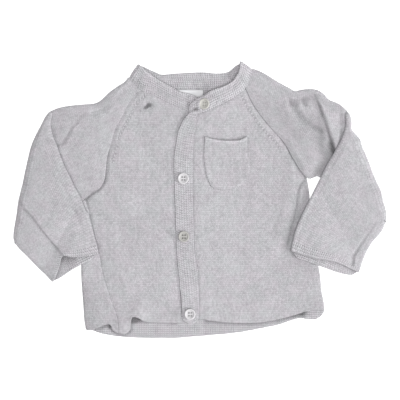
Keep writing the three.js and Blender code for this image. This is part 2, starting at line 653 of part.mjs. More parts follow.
// The neckband: one strip, from the front end under the top button, round the neck, to the other end
function neckband() {
  const strip = [];
  const addRows = (rows, sewnHeight) => {
    for (const row of rows) {
      const sewn = at(row.sewn);
      const free = at(row.free);
      const way = free.clone().sub(sewn).normalize().multiplyScalar(NECK_GAP / 2);
      sewn.add(way);
      strip.push([
        new THREE.Vector3(sewn.x, sewn.y, sewnHeight(sewn)),
        new THREE.Vector3(free.x, free.y, row.height),
      ]);
    }
  };
  const addTurn = (peak, lowHeight, highHeight, upward) => {
    const ends = { sewn: [BACK_MID, FRONT_MID], free: [lowHeight, highHeight] };
    const inward = at(peak.free).sub(at(peak.sewn)).normalize().multiplyScalar(NECK_GAP / 2);
    for (let k = 1; k < TURN_PARTS; k++) {
      const turn = (Math.PI * k) / TURN_PARTS;
      const angle = upward ? turn - Math.PI / 2 : Math.PI / 2 - turn;
      strip.push(
        ["sewn", "free"].map((edge) => {
          const [low, high] = ends[edge];
          const radius = (high - low) / 2;
          const way = new THREE.Vector2(...peak[`${edge}Way`]).multiplyScalar(radius * Math.cos(angle));
          const p = at(peak[edge]).add(way);
          if (edge === "sewn") p.add(inward);
          return new THREE.Vector3(p.x, p.y, (low + high) / 2 + radius * Math.sin(angle));
        }),
      );
    }
  };
  addRows(BAND_FRONT_RIGHT, rightFrontHeight);
  addTurn(BAND_PEAKS[0], BAND_BACK[0].height, BAND_FRONT_RIGHT.at(-1).height, false);
  addRows(BAND_BACK, () => BACK_MID);
  addTurn(BAND_PEAKS[1], BAND_BACK.at(-1).height, BAND_FRONT_LEFT[0].height, true);
  addRows(BAND_FRONT_LEFT, (p) => (p.x < placketSeam.at(-1).x ? placketHeight(p) : leftFrontHeight(p)));
  const points = strip.flatMap(([sewn, free]) =>
    Array.from({ length: BAND_COLUMNS }, (_, i) => mix(sewn, free, i / (BAND_COLUMNS - 1))),
  );
  return cloth("neckband", points, gridQuads(strip.length, BAND_COLUMNS), CLOTH, KNIT_BAND);
}

function placket() {
  const edges = {
    lower: spread(places(PLACKET_FOOT), 3),
    upper: spread(places([[190.5, 112.4], [197, 113.5]]), 3),
    left: spread(places(PLACKET_EDGE), BAND_PARTS),
    right: spread(placketSeam, BAND_PARTS),
  };
  const gaps = { lower: 0, upper: NECK_GAP / 2, left: 0, right: SEAM_GAP / 2 };
  const mesh = panel("placket", edges, gaps, placketHeight);
  mesh.material.color = KNIT_BAND;
  return mesh;
}

// The band under the placket that carries the buttons
function buttonBand() {
  const edges = {
    lower: spread(places([[186, 323.6], [192, 323.4], [197.8, 319.5]]), 2),
    upper: spread(places([[188.5, 111], [192, 112.1], [196.4, 112.3]]), 2),
    left: spread(places(CENTRE_RIGHT), BAND_PARTS),
    right: spread(shifted(placketSeam, SEAM_GAP * 2), BAND_PARTS),
  };
  edges.lower[2] = edges.right[0].clone();
  edges.upper[2] = edges.right[BAND_PARTS].clone();
  const gaps = { lower: 0, upper: NECK_GAP, left: SEAM_GAP / 2, right: 0 };
  const mesh = panel("button_band", edges, gaps, rightFrontHeight);
  mesh.material.color = KNIT_BAND;
  return mesh;
}

function pocket() {
  const edges = {
    lower: spread(places(POCKET.foot), POCKET_COLUMNS),
    upper: spread(places(POCKET.mouth), POCKET_COLUMNS),
    left: spread(places(POCKET.left), POCKET_ROWS),
    right: spread(places(POCKET.right), POCKET_ROWS),
  };
  const none = { lower: 0, upper: 0, left: 0, right: 0 };
  return panel("pocket", edges, none, (p) => leftFrontHeight(p) + POCKET_STEP);
}

function label() {
  const { left, right, top, bottom } = LABEL;
  const grid = [bottom, top].map((down) =>
    [left, (left + right) / 2, right].map((across) => {
      const p = at([across, down]);
      return new THREE.Vector3(p.x, p.y, LABEL_MID);
    }),
  );
  return cloth("label", grid.flat(), gridQuads(2, 3), LABEL_THICK, WHITE);
}

function solidOf(geometry) {
  const positions = geometry.getAttribute("position").array;
  const index = geometry.getIndex().array;
  const vertProperties = Float32Array.from(positions);
  const triVerts = Uint32Array.from(index);
  return new wasm.Manifold(new wasm.Mesh({ numProp: 3, vertProperties, triVerts }));
}

// A closed turned shape about z: rows of radius and height, first and last on the axis
function turned(profile, sides, centre = [0, 0]) {
  const points = [new THREE.Vector3(centre[0], centre[1], profile[0][1])];
  const triangles = [];
  const rings = profile.slice(1, -1);
  for (const [radius, height] of rings) {
    for (let k = 0; k < sides; k++) {
      const angle = (2 * Math.PI * k) / sides;
      const x = centre[0] + radius * Math.cos(angle);
      points.push(new THREE.Vector3(x, centre[1] + radius * Math.sin(angle), height));
    }
  }
  points.push(new THREE.Vector3(centre[0], centre[1], profile.at(-1)[1]));
  const last = points.length - 1;
  for (let k = 0; k < sides; k++) {
    const next = (k + 1) % sides;
    triangles.push([0, 1 + next, 1 + k]);
    for (let r = 0; r + 1 < rings.length; r++) {
      const low = 1 + r * sides;
      triangles.push(...halves([low + k, low + next, low + sides + next, low + sides + k]));
    }
    triangles.push([last, last - sides + k, last - sides + next]);
  }
  return meshFrom("turned", points, triangles, WHITE, 0.4).geometry;
}

// A four-hole button with a raised rim, its foot at z = 0
function button({ name, place, tilt }) {
  const profile = [
    [0, 0], [BUTTON_FOOT, 0], [4.8, 0.5], [BUTTON_RADIUS, 1.2], [BUTTON_RADIUS - 0.3, 2.1],
    [4.7, BUTTON_THICK], [3.9, 2], [3.3, 1.5], [0, 1.4],
  ];
  let solid = solidOf(turned(profile, BUTTON_SIDES));
  for (const sideX of [-1, 1]) {
    for (const sideY of [-1, 1]) {
      const centre = [sideX * BUTTON_HOLE_OFFSET, sideY * BUTTON_HOLE_OFFSET];
      const drill = [[0, -1], [BUTTON_HOLE_RADIUS, -1], [BUTTON_HOLE_RADIUS, 4], [0, 4]];
      solid = solid.subtract(solidOf(turned(drill, HOLE_SIDES, centre)));
    }
  }
  const result = solid.getMesh();
  const geometry = new THREE.BufferGeometry();
  geometry.setAttribute("position", new THREE.BufferAttribute(result.vertProperties, 3));
  geometry.setIndex(new THREE.BufferAttribute(result.triVerts, 1));
  const onNeckband = name === "button_1";
  const colour = onNeckband ? CREAM : WHITE;
  const material = new THREE.MeshStandardMaterial({ color: colour, roughness: 0.35, metalness: 0 });
  const mesh = new THREE.Mesh(geometry, material);
  mesh.name = name;
  const p = at(place);
  const bandRow = BAND_FRONT_LEFT[5];
  const bandMiddle = (leftFrontHeight(at(bandRow.sewn)) + bandRow.height) / 2;
  const clothTop = (onNeckband ? bandMiddle : placketHeight(p)) + CLOTH / 2;
  mesh.rotation.y = tilt;
  mesh.position.set(p.x, p.y, clothTop + BUTTON_SEAT + BUTTON_FOOT * Math.abs(Math.sin(tilt)));
  return mesh;
}

const cardigan = new THREE.Group();
cardigan.add(
  back(),
  frontRight(),
  frontLeft(),
  sleeve("sleeve_right", SLEEVE_RIGHT, -1, SLEEVE_RIGHT_FOLDS, FOREARM_RIGHT_FOLDS, places(WRAP_OUTLINE)),
  sleeve("sleeve_left", SLEEVE_LEFT, 1, SLEEVE_LEFT_FOLDS, FOREARM_LEFT_FOLDS, places(SIDE_LEFT)),
  neckband(),
  placket(),
  buttonBand(),
  pocket(),
  label(),
  ...BUTTONS.map(button),
);

export default cardigan;
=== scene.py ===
"""Looks of a baby's knitted raglan cardigan, laid flat with both forearms folded in over it."""
import math

import bpy
import numpy as np
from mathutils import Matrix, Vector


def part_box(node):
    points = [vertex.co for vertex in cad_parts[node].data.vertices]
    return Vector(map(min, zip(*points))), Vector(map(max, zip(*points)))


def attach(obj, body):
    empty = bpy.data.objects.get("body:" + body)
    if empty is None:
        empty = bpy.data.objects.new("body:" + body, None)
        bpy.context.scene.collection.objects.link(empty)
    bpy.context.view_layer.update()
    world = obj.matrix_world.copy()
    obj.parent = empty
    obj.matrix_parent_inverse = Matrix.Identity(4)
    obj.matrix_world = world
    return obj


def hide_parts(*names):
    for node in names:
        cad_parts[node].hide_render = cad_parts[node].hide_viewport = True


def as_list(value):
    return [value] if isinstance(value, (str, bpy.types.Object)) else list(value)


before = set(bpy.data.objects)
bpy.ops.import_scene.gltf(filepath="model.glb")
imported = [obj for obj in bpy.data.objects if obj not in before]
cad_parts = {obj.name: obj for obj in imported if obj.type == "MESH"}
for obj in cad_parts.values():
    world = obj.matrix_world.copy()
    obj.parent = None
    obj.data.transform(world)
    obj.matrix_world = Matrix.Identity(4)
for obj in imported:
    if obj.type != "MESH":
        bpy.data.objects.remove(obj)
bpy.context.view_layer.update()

MM = 0.001

# Sizes of the garment, in millimetres
CLOTH = 1.5
BACK_MID = 0.75
FRONT_MID = 2.9
SIDE_EDGE_MID = 2.3
PLACKET_STEP = 2.0
POCKET_STEP = 1.8
TUBE_HALF = 1.1
TUBE_CENTRE = BACK_MID + TUBE_HALF
TUBE_OUTER = TUBE_HALF + CLOTH / 2
TUBE_INNER = TUBE_HALF - CLOTH / 2
FOLD_RADIUS = 2.4
FOLD_AXIS = TUBE_CENTRE + FOLD_RADIUS
FOREARM_CENTRE = FOLD_AXIS + FOLD_RADIUS
FOREARM_DROP = 4.65
DROP_WIDTH = 40.0
FOLD_REACH = 8.0
SHOULDER_REACH = 6.0
FOREARM_REACH = 3.2
TOP_CORNER_REACH = 2.1
CORNER_REACH = 5.0
CORNER_ROUNDNESS = 0.85
FOLD_SLOPE = 17.0
MOUTH_PART = 0.9
CUFF_ROWS = 8
FOREARM_CROWN = 0.4
UPPER_CREASE_LIMIT = 0.55
FOREARM_CREASE_LIMIT = 0.6
CUFF_LIP = 0.6
MARKS_INSET = 6.5
RIM = 0.45

# Places are read on a board 400 mm square: across from its left edge, down from its top edge
BOARD_ACROSS = 199.5
BOARD_DOWN = 200.0

# Seams: across, down
RAGLAN_RIGHT = [
    (141, 90), (131, 100), (122.5, 116), (115, 130), (111, 144), (107.5, 156),
    (105.8, 170), (104, 181), (100, 187.5), (92, 192.8), (84, 199),
]
RAGLAN_LEFT = [
    (245, 88), (252, 103), (262, 117.5), (273, 130.5), (280.5, 138.5), (286.5, 146.5),
    (291.5, 156), (295.5, 162.5), (299, 168.5), (302.5, 173), (306.5, 177),
]
SHOULDER_NECK_RIGHT = [(130.3, 78.9), (135.5, 84), (141, 90)]
SHOULDER_NECK_LEFT = [(251.5, 71), (249, 79), (245, 88)]
NECK_RIGHT = [(141, 90), (150, 92.5), (160, 98), (170, 103), (180, 107.5), (188.5, 111)]
NECK_LEFT = [(197, 113.5), (206, 111), (216, 106.2), (226, 101.5), (236, 95.5), (245, 88)]
NECK_BACK = [(141, 90), (160, 90.3), (190, 90.2), (218, 89.7), (245, 88)]
SIDE_SEAM_RIGHT = [
    (118.5, 333), (117.5, 319), (111.5, 301), (107, 288), (103, 274), (99, 253), (95, 238),
    (92, 225), (89, 214), (86, 206), (84, 199),
]
PLACKET_SEAM = [
    (198.4, 319.5), (198.5, 295), (197.5, 270), (194.5, 253), (193.5, 220), (193, 176), (193, 153),
    (194, 137), (195.5, 126), (197, 113.5),
]
PLACKET_EDGE = [
    (183.3, 320.5), (182, 317), (181, 303), (179.5, 282), (177, 257), (176, 232), (174.5, 187),
    (174, 172), (174.5, 153), (176.5, 141), (180, 126), (186, 117), (190.5, 112.4),
]
PLACKET_FOOT = [(183.3, 320.5), (187.5, 323.4), (194, 323.4), (198.4, 319.5)]
PLACKET_TOP = [(190.5, 112.4), (197, 113.5)]
CENTRE_RIGHT = [
    (186, 323.6), (183.5, 303), (182, 282), (180, 257), (179, 232), (177.5, 187), (177, 172),
    (177.5, 153), (179.5, 141), (183, 126), (187, 117), (188.5, 111),
]

# Free edges and folded outlines: across, down
BACK_HEM = [
    (87.6, 328.6), (99.7, 333.2), (111, 335.6), (124, 337.2), (140, 338), (160, 338.2), (175, 338.2),
    (190, 337.1), (215, 335), (240, 332.4), (260, 328.7), (280, 324.5), (292, 320.4), (300, 318.4),
    (308, 319.2), (315.2, 319.4), (321, 316.3), (324.4, 311.8),
]
FRONT_RIGHT_HEM = [
    (118.5, 333), (125, 334), (129.6, 330.5), (130.7, 323.5), (132.6, 317.2), (138, 318), (143.4, 321.2),
    (150, 322.3), (157, 322.6), (164, 323), (171, 323.2), (178.5, 323.4), (186, 323.6),
]
FRONT_LEFT_HEM = [
    (198.4, 319.5), (203, 319.4), (211, 320.6), (223, 322), (238, 323), (252, 323), (266, 321.6),
    (279, 319), (290, 316.3), (299, 313.6), (306, 311.3), (315, 310.5), (324.6, 310.5),
]
WRAP_HEM = [
    (87.6, 328.6), (90.5, 329.4), (97, 327.6), (104, 324.4), (109, 323.6), (112, 329.5), (118.5, 333),
]
WRAP_OUTLINE = [
    (85, 329.4), (84, 318), (83, 303), (81.8, 288), (81, 273), (81.4, 255), (82, 235), (82.4, 215),
    (84, 199),
]
SIDE_LEFT = [
    (324.6, 310.5), (324.1, 304.5), (322.9, 298), (321.4, 290), (320.6, 280), (318.8, 268),
    (316.9, 260), (314.5, 245), (312.3, 230), (310.8, 215), (309.7, 200), (308.5, 188), (306.5, 177),
]

# Sleeves: across, down. The outlines are the outer faces of the cloth, the other rows its middle
SLEEVE_RIGHT = {
    "neck": SHOULDER_NECK_RIGHT,
    "raglan": RAGLAN_RIGHT,
    "shoulder": [
        (128.6, 76.8), (123.8, 82.3), (117.6, 86), (110.8, 91), (95.8, 103), (85, 104.3), (76, 105),
        (66, 106.2), (58, 107.4), (50, 111),
    ],
    "fold": [
        (50, 111), (45.6, 116.7), (41.8, 124), (38, 131), (33.8, 139.5), (31, 147), (28.8, 155), (27, 163),
        (25, 172), (22.8, 183), (20.5, 192), (18.6, 200), (17.5, 207), (16.5, 215), (15, 224), (13.8, 232),
        (13.6, 239), (15.5, 244.5),
    ],
    "armpit": (84.8, 198.4),
    "underarm": [(84.8, 198.4), (78, 201), (60, 213), (40, 227), (24, 238)],
    "inner_edge": [
        (50, 112), (50.3, 120), (51.5, 128), (53.5, 136), (57, 145), (61, 156), (65, 166),
        (70, 176), (75, 187), (79, 194), (82, 200), (85, 208), (88.5, 215), (91.5, 224), (95, 237),
        (97.5, 246), (98.8, 253.5),
    ],
    "outer_edge": [
        (15, 243.5), (20, 249), (26, 255), (31.6, 260.9), (39.6, 269.4), (45.5, 275), (52, 281.8),
    ],
    "cuff_above": [
        (96.9, 253.6), (85, 255.6), (73, 256.6), (62.5, 256), (60.3, 263), (57.5, 271.5),
        (53.5, 280.4),
    ],
    "cuff_below": [(96.9, 253.6), (92, 258.6), (80, 264.6), (69, 271.2), (60, 277.3), (53.5, 280.4)],
}
SLEEVE_LEFT = {
    "neck": SHOULDER_NECK_LEFT,
    "raglan": RAGLAN_LEFT,
    "shoulder": [
        (251.8, 68.4), (260.2, 71.1), (268.3, 75.4), (275.8, 80.4), (289.2, 87.7), (295.7, 91.1), (300, 90),
        (306, 89.1), (312, 89), (317.7, 89.9), (323.7, 93.7), (328.9, 99.3), (339.6, 103.4),
        (345.4, 107.9), (348.3, 111.9),
    ],
    "fold": [
        (348.3, 111.9), (350.6, 116.7), (351.7, 122), (352, 130), (355.8, 134.3), (360.4, 139.8),
        (362, 145.8), (366, 155), (369.2, 162.9), (372.7, 172.2), (376.6, 181.8), (381, 190.9),
        (383.2, 201), (385.7, 210), (386.5, 216), (385.6, 223.3),
    ],
    "armpit": (304.6, 175.4),
    "underarm": [
        (304.6, 175.4), (309, 177.2), (313, 175.8), (316.5, 174.6), (325, 178.5), (345, 196),
        (365, 211), (377, 219),
    ],
    "inner_edge": [
        (348, 112.6), (347.2, 118), (346, 124), (344, 131), (340.5, 140), (334.5, 151), (327, 164),
        (320, 178), (314, 190), (309, 200), (301, 216), (294, 234), (290.5, 250.5),
    ],
    "outer_edge": [
        (385.6, 223.3), (381.8, 230.6), (372.8, 241.6), (367.9, 249.5), (365.1, 255.5), (362, 264.3),
        (359.3, 272),
    ],
    "cuff_above": [
        (292.4, 251), (304, 255), (316, 258), (327, 259.8), (337, 262), (347, 266.5), (357.4, 271.6),
    ],
    "cuff_below": [
        (292.4, 251), (296, 256.5), (306, 260.6), (316, 264), (327, 268), (338, 271.9), (347, 274.2),
        (352.5, 274.5), (357.4, 271.6),
    ],
}

# The neckband: across and down of the sewn edge and of the free edge, and the free edge's height
BAND_FRONT_RIGHT = [
    (200, 112.4, 202.5, 100.5, 4.1), (195, 112.2, 197, 97.4, 4.2), (188.5, 111, 190.5, 94.6, 4.6),
    (180, 107.5, 181.5, 92.6, 5.0), (170, 103, 171, 87.2, 5.4), (160, 98, 161, 82, 6),
    (150, 92.5, 152.5, 76.5, 6.8), (141, 90, 146, 71.2, 7.4), (135.5, 84, 142.4, 68, 7.8),
]
BAND_BACK = [
    (135.5, 84, 143.6, 67.2, 3.4), (141, 90, 148, 69.4, 3.2), (150, 90.3, 153.5, 71.8, 3.2),
    (160, 90.3, 160.5, 74.9, 3), (175, 90.2, 172, 74.3, 2.8), (190, 90.2, 187, 73.4, 2.8),
    (206, 90.2, 203, 72.9, 2.8), (218, 89.7, 218, 74, 3), (232, 88.7, 228.6, 72.2, 3.2),
    (245, 88, 234.7, 67.3, 3.4), (249, 79, 237.4, 65.4, 3.6),
]
BAND_FRONT_LEFT = [
    (249, 79, 239.6, 69.4, 8), (245, 88, 237, 75.5, 7.6), (236, 95.5, 231.5, 82.5, 7),
    (226, 101.5, 222, 87.3, 6.7), (216, 106.2, 211.5, 91, 6.5), (206, 111, 203.5, 95.8, 6.4),
    (197, 113.5, 197.4, 98.9, 6.4), (192.8, 113.3, 192.4, 102.8, 6.4), (189.6, 112, 188.8, 106.6, 6.2),
]
BAND_PEAKS = [
    {"sewn": (130.3, 78.9), "free": (140.6, 66.4), "sewn_way": (-0.71, 0.7), "free_way": (-0.8, 0.6)},
    {"sewn": (251.5, 71), "free": (240, 64.4), "sewn_way": (0.3, 0.95), "free_way": (0.1, 1.0)},
]

POCKET = {
    "mouth": [(204.7, 136.5), (209, 138), (220, 140), (229, 140.6), (240, 139.8), (247, 136.5)],
    "foot": [(208, 180.5), (212, 187), (223, 190), (234, 188), (243, 183.5), (247.6, 178.5)],
    "left": [(208, 180.5), (206, 172), (204.4, 162), (204.2, 150), (204.7, 136.5)],
    "right": [(247.6, 178.5), (249, 170), (248.3, 162), (246.6, 154), (247, 136.5)],
}
LABEL = {"left": 177.0, "right": 203.0, "top": 90.0, "bottom": 101.0}
# Each button's finish, and how much its dish and its wells are painted darker, as painted shade; button_3
# takes the pearl colour in painted shade.
BUTTONS = [
    {"name": "button_1", "tilt": -0.3, "finish": "cream", "dish": 0.97, "wells": 0.8},
    {"name": "button_2", "tilt": 0.0, "finish": "pearl", "dish": 0.86, "wells": 0.5},
    {"name": "button_3", "tilt": 0.16, "finish": "pearl_in_painted_shade", "dish": 0.86, "wells": 0.5},
    {"name": "button_4", "tilt": 0.0, "finish": "pearl", "dish": 0.86, "wells": 0.5},
]
HOLE = [
    {"place": (146.4, 107.2), "size": (3.6, 2.4), "turn": 0.5},
    {"place": (149.3, 104.9), "size": (3.4, 2.8), "turn": 0.0},
]

# How the cloth rises and falls (the RELIEF tables), and where shade and light are painted into its colour
# (the SHADE tables). Each row: the line it follows, its width, its height at both ends; in a SHADE table the
# height is how much darker the colour is painted, and below zero how much lighter.
# A step also has the side that stands high and how far that side reaches before it is level again.
FRONT_RELIEF = [
    {"line": [(180, 110), (204, 110)], "width": 24, "height": (1.1, 1.1)},
    {"line": [(121, 328), (121, 323)], "width": 7, "height": (2.0, 1.6)},
    {"line": [(108, 318), (128, 317)], "width": 2.2, "height": (-0.5, -0.5)},
    {"line": [(136, 320), (139, 308)], "width": 8, "height": (2.0, 2.0)},
    {"line": [(150, 225), (126, 300)], "width": 12, "height": (0.7, 0.7)},
    {"line": [(258, 150), (262, 300)], "width": 14, "height": (0.7, 0.7)},
    {"line": [(226, 228), (232, 316)], "width": 12, "height": (0.6, 0.6)},
    {"line": [(282, 170), (278, 215), (274, 250)], "width": 8, "height": (0.6, 0.9)},
    {"line": [(120, 205), (112, 230), (116, 270)], "width": 10, "height": (0.8, 0.5)},
    {"line": [(150, 150), (140, 200)], "width": 16, "height": (0.5, 0.6)},
    {"line": [(286, 165), (284, 200)], "width": 4, "height": (-0.3, -0.3)},
    {"line": [(305, 179), (300, 185.5), (297.3, 195), (296.6, 207), (293.5, 219)],
     "width": 1.5, "height": (-0.5, -0.3)},
    {"line": [(301.5, 188), (300.5, 200), (298, 212)], "width": 2.2, "height": (0.4, 0.3)},
    {"line": [(262, 206), (256, 236), (262, 262)], "width": 5, "height": (-0.3, -0.4)},
    {"line": [(118, 207), (121, 240), (128, 262)], "width": 5, "height": (-0.4, -0.2)},
    {"line": [(142, 88), (152, 97)], "width": 4, "height": (0.7, 0.9)},
    {"line": [(148, 105), (149, 106)], "width": 3.4, "height": (-2.2, -2.2)},
    {"line": [(142, 106), (150, 111)], "width": 3, "height": (0.6, 0.5)},
]
FRONT_SHADE = [
    {"line": [(110, 147), (107.5, 158), (106, 170), (105, 181.5), (101, 188.8), (92.5, 194.6), (85, 200.4)],
     "width": 1.2, "height": (0.2, 0.5)},
    {"line": [(281, 140.5), (287, 148), (292, 158), (299, 170), (305.4, 177.6)],
     "width": 1.4, "height": (0.14, 0.5)},
    {"line": [(87.6, 201), (88.6, 209), (91.5, 219)], "width": 1.1, "height": (0.3, 0.2)},
    {"line": [(304, 188), (298, 214), (291, 238), (288, 252)], "width": 6.5, "height": (0.08, 0.14)},
    {"line": [(288, 160), (285, 182), (283, 202), (281, 218), (277, 234)],
     "width": 5.5, "height": (0.13, 0.09)},
    {"line": [(174.4, 141), (172.2, 155), (171.8, 172), (172.6, 190), (174, 232), (175, 257), (177.5, 282),
              (179, 303), (180.4, 319)], "width": 2.4, "height": (-0.2, -0.22)},
    {"line": [(168, 235), (171, 270), (174, 300)], "width": 6, "height": (-0.05, -0.06)},
    {"line": [(204, 113), (207, 121)], "width": 5, "height": (0.1, 0.07)},
    {"line": [(128, 122), (133, 160), (135, 195)], "width": 12, "height": (-0.03, -0.04)},
    {"line": [(159, 118), (158, 155), (151, 195)], "width": 7, "height": (0.03, 0.03)},
    {"line": [(106, 165), (105, 182)], "width": 4, "height": (0.06, 0.1)},
    {"line": [(203, 136), (203.4, 160), (206.6, 182), (210, 190)],
     "width": 1.8, "height": (-0.09, -0.09)},
    {"line": [(282, 276), (304, 302)], "width": 16, "height": (0.05, 0.05)},
    {"line": [(294, 262), (314, 269)], "width": 5, "height": (0.06, 0.06)},
    {"line": [(100, 247), (102, 255), (100, 262)], "width": 3, "height": (0.12, 0.1)},
    {"line": [(296, 252), (306, 256)], "width": 3.0, "height": (0.15, 0.1)},
    {"line": [(282, 200), (276, 235)], "width": 4.0, "height": (0.05, 0.05)},
    {"line": [(305, 179), (300, 185.5), (297.3, 195), (296.6, 207), (293.5, 219), (290, 232), (287.5, 243)],
     "width": 1.3, "height": (0.27, 0.16)},
    {"line": [(304.6, 183), (306.4, 190), (307.4, 198)], "width": 1.0, "height": (0.16, 0.08)},
    {"line": [(248.4, 139), (248.2, 154), (249.8, 163), (250, 171), (248.6, 178.6)],
     "width": 1.2, "height": (0.1, 0.1)},
    {"line": [(206, 137.6), (214, 139), (228, 140.4), (240, 139.8), (246, 137)],
     "width": 1.0, "height": (0.1, 0.08)},
    {"line": [(185.5, 113), (183.4, 117), (182.6, 120)], "width": 1.8, "height": (0.22, 0.12)},
    {"line": [(140, 110), (140.4, 111)], "width": 1.0, "height": (0.3, 0.3)},
    {"line": [(142, 91), (143, 92)], "width": 1.1, "height": (0.3, 0.2)},
]
SLEEVE_RIGHT_RELIEF = [
    {"line": [(90, 108), (84, 113), (79, 119), (72, 127), (67, 136), (65, 142), (58, 146)],
     "width": 4, "height": (0.5, 1.3), "high": 1, "reach": 34},
    {"line": [(88, 110), (84, 114), (79, 120), (72, 128), (67, 137)],
     "width": 2.2, "height": (-0.2, -0.5)},
    {"line": [(56, 116), (62, 132)], "width": 6, "height": (0.6, 0.4)},
    {"line": [(92, 130), (84, 160)], "width": 12, "height": (0.9, 0.9)},
    {"line": [(97, 150), (95, 178)], "width": 6, "height": (0.8, 1.1)},
    {"line": [(118, 96), (104, 120)], "width": 9, "height": (0.3, 0.5)},
    {"line": [(80, 128), (92, 135)], "width": 4, "height": (-0.6, -0.3)},
    {"line": [(100, 128), (104, 160)], "width": 4, "height": (0.5, 0.8)},
]
SLEEVE_RIGHT_SHADE = [
    {"line": [(91, 107), (84, 113), (79, 119), (72, 127), (67, 136), (64, 142)],
     "width": 1.8, "height": (0.03, 0.07)},
    {"line": [(57, 146), (66, 167), (75, 187), (81, 198)], "width": 1.6, "height": (0.02, 0.12)},
    {"line": [(60, 150), (70, 174)], "width": 2.5, "height": (-0.1, -0.1)},
    {"line": [(53, 128), (58, 145)], "width": 1.6, "height": (0.1, 0.1)},
    {"line": [(102, 166), (101, 182)], "width": 4, "height": (0.08, 0.1)},
    {"line": [(53, 115), (57, 118)], "width": 2.6, "height": (0.05, 0.05)},
    {"line": [(88, 112), (100, 104.5), (112, 95), (120, 89), (127, 82)],
     "width": 4.5, "height": (-0.1, -0.1)},
]
SLEEVE_LEFT_RELIEF = [
    {"line": [(270, 92), (282, 112), (294, 132), (304, 146)], "width": 14, "height": (0.5, 1.0)},
    {"line": [(302, 108), (320, 128)], "width": 18, "height": (1.9, 1.9)},
    {"line": [(289, 96), (290.5, 102), (293.5, 109.5), (298.5, 115.5), (304.5, 121), (311, 125.5),
              (320, 130.5)],
     "width": 2.6, "height": (-3.2, -1.8)},
    {"line": [(315, 93), (317, 100), (321, 112), (325, 122), (329, 135), (333, 147), (335, 152)],
     "width": 3.4, "height": (2.2, 3.6), "high": 1, "reach": 18},
    {"line": [(301, 92), (301.5, 98), (304, 104)], "width": 2.0, "height": (-2.4, -2.8)},
    {"line": [(296, 93), (298, 104), (305, 113)], "width": 2.6, "height": (1.8, 1.0)},
    {"line": [(308, 95), (312, 112), (318, 124)], "width": 4.5, "height": (1.2, 1.0)},
    {"line": [(344.5, 126), (341, 139)], "width": 2.0, "height": (-0.5, -2.4)},
    {"line": [(284, 98), (290, 120), (302, 134)], "width": 7, "height": (1.2, 0.9)},
    {"line": [(300, 145), (312, 165)], "width": 9, "height": (0.9, 1.2)},
    {"line": [(328, 144), (320, 162), (315, 172)], "width": 5, "height": (-1.6, -1.0)},
    {"line": [(286, 134), (304, 166)], "width": 3, "height": (0.5, 0.8)},
]
SLEEVE_LEFT_SHADE = [
    {"line": [(289, 97), (290.5, 103), (293.5, 110), (298.5, 116), (304.5, 121.5), (311, 126), (319, 130)],
     "width": 1.8, "height": (0.22, 0.22)},
    {"line": [(314.5, 97), (318, 110), (321, 125), (321.5, 140), (322, 151)],
     "width": 4.5, "height": (0.15, 0.3)},
    {"line": [(315.5, 96), (317.5, 102), (321, 112), (325, 123), (329, 136), (332.5, 147), (334, 152)],
     "width": 1.4, "height": (0.2, 0.28)},
    {"line": [(301, 93), (301.5, 99), (303.5, 103.5)], "width": 1.6, "height": (0.06, 0.12)},
    {"line": [(305, 106), (309, 101)], "width": 3.0, "height": (-0.1, -0.1)},
    {"line": [(330.5, 144), (333, 151)], "width": 3.0, "height": (0.3, 0.5)},
    {"line": [(333, 152), (326, 164), (319, 177)], "width": 5.0, "height": (0.24, 0.12)},
    {"line": [(344.5, 112), (344.8, 115)], "width": 2.2, "height": (-0.4, -0.4)},
    {"line": [(339, 111), (343, 119), (342.5, 128)], "width": 3.0, "height": (-0.16, -0.16)},
    {"line": [(258, 84), (272, 101), (287, 127), (292, 138)], "width": 9, "height": (-0.05, -0.06)},
    {"line": [(344, 126), (340.5, 139), (336, 148)], "width": 1.5, "height": (0.06, 0.2)},
    {"line": [(287, 108), (296, 122), (310, 134), (324, 140)], "width": 11.0, "height": (0.06, 0.09)},
]
FOREARM_RIGHT_RELIEF = [
    {"line": [(14, 194), (19, 201), (25, 210), (31, 215), (40, 227), (50, 240), (58, 249), (64, 256)],
     "width": 1.8, "height": (1.1, 1.7), "high": 1, "reach": 32},
    {"line": [(45, 138), (52, 156), (59, 174), (68, 196), (77, 216), (84, 236)],
     "width": 3, "height": (-0.4, -0.5)},
    {"line": [(58, 165), (68, 205), (78, 235)], "width": 9, "height": (0.5, 0.6)},
    {"line": [(51.5, 132), (58, 154), (66, 174), (75, 196), (84, 216), (91, 238)],
     "width": 2.6, "height": (0.4, 0.5)},
    {"line": [(62, 256), (59, 268), (56, 274)], "width": 4, "height": (0.8, 0.5)},
]
FOREARM_RIGHT_SHADE = [
    {"line": [(20, 202.5), (25, 210.5), (31, 216), (40, 228), (50, 241), (58, 250), (62, 255)],
     "width": 1.3, "height": (0.1, 0.14)},
    {"line": [(52, 126), (53.5, 134), (56, 140)], "width": 1.4, "height": (0.05, 0.12)},
    {"line": [(79, 204), (85, 225), (90, 243)], "width": 6, "height": (0.08, 0.05)},
    {"line": [(68, 227), (64, 246)], "width": 6, "height": (-0.06, -0.08)},
    {"line": [(59, 256), (55, 272)], "width": 4, "height": (-0.16, -0.1)},
    {"line": [(20, 218), (32, 247)], "width": 6, "height": (0.06, 0.05)},
]
FOREARM_LEFT_RELIEF = [
    {"line": [(352, 160), (336, 200), (322, 235)], "width": 16, "height": (0.6, 0.6)},
    {"line": [(352, 264), (353, 256), (358, 249), (363, 241), (369, 232), (374, 224)],
     "width": 1.8, "height": (-1.8, -0.4)},
    {"line": [(357, 263), (363, 251), (369, 243), (376, 234), (380, 226)],
     "width": 4, "height": (0.9, 0.4)},
    {"line": [(300, 222), (296, 246)], "width": 5, "height": (0.5, 0.5)},
]
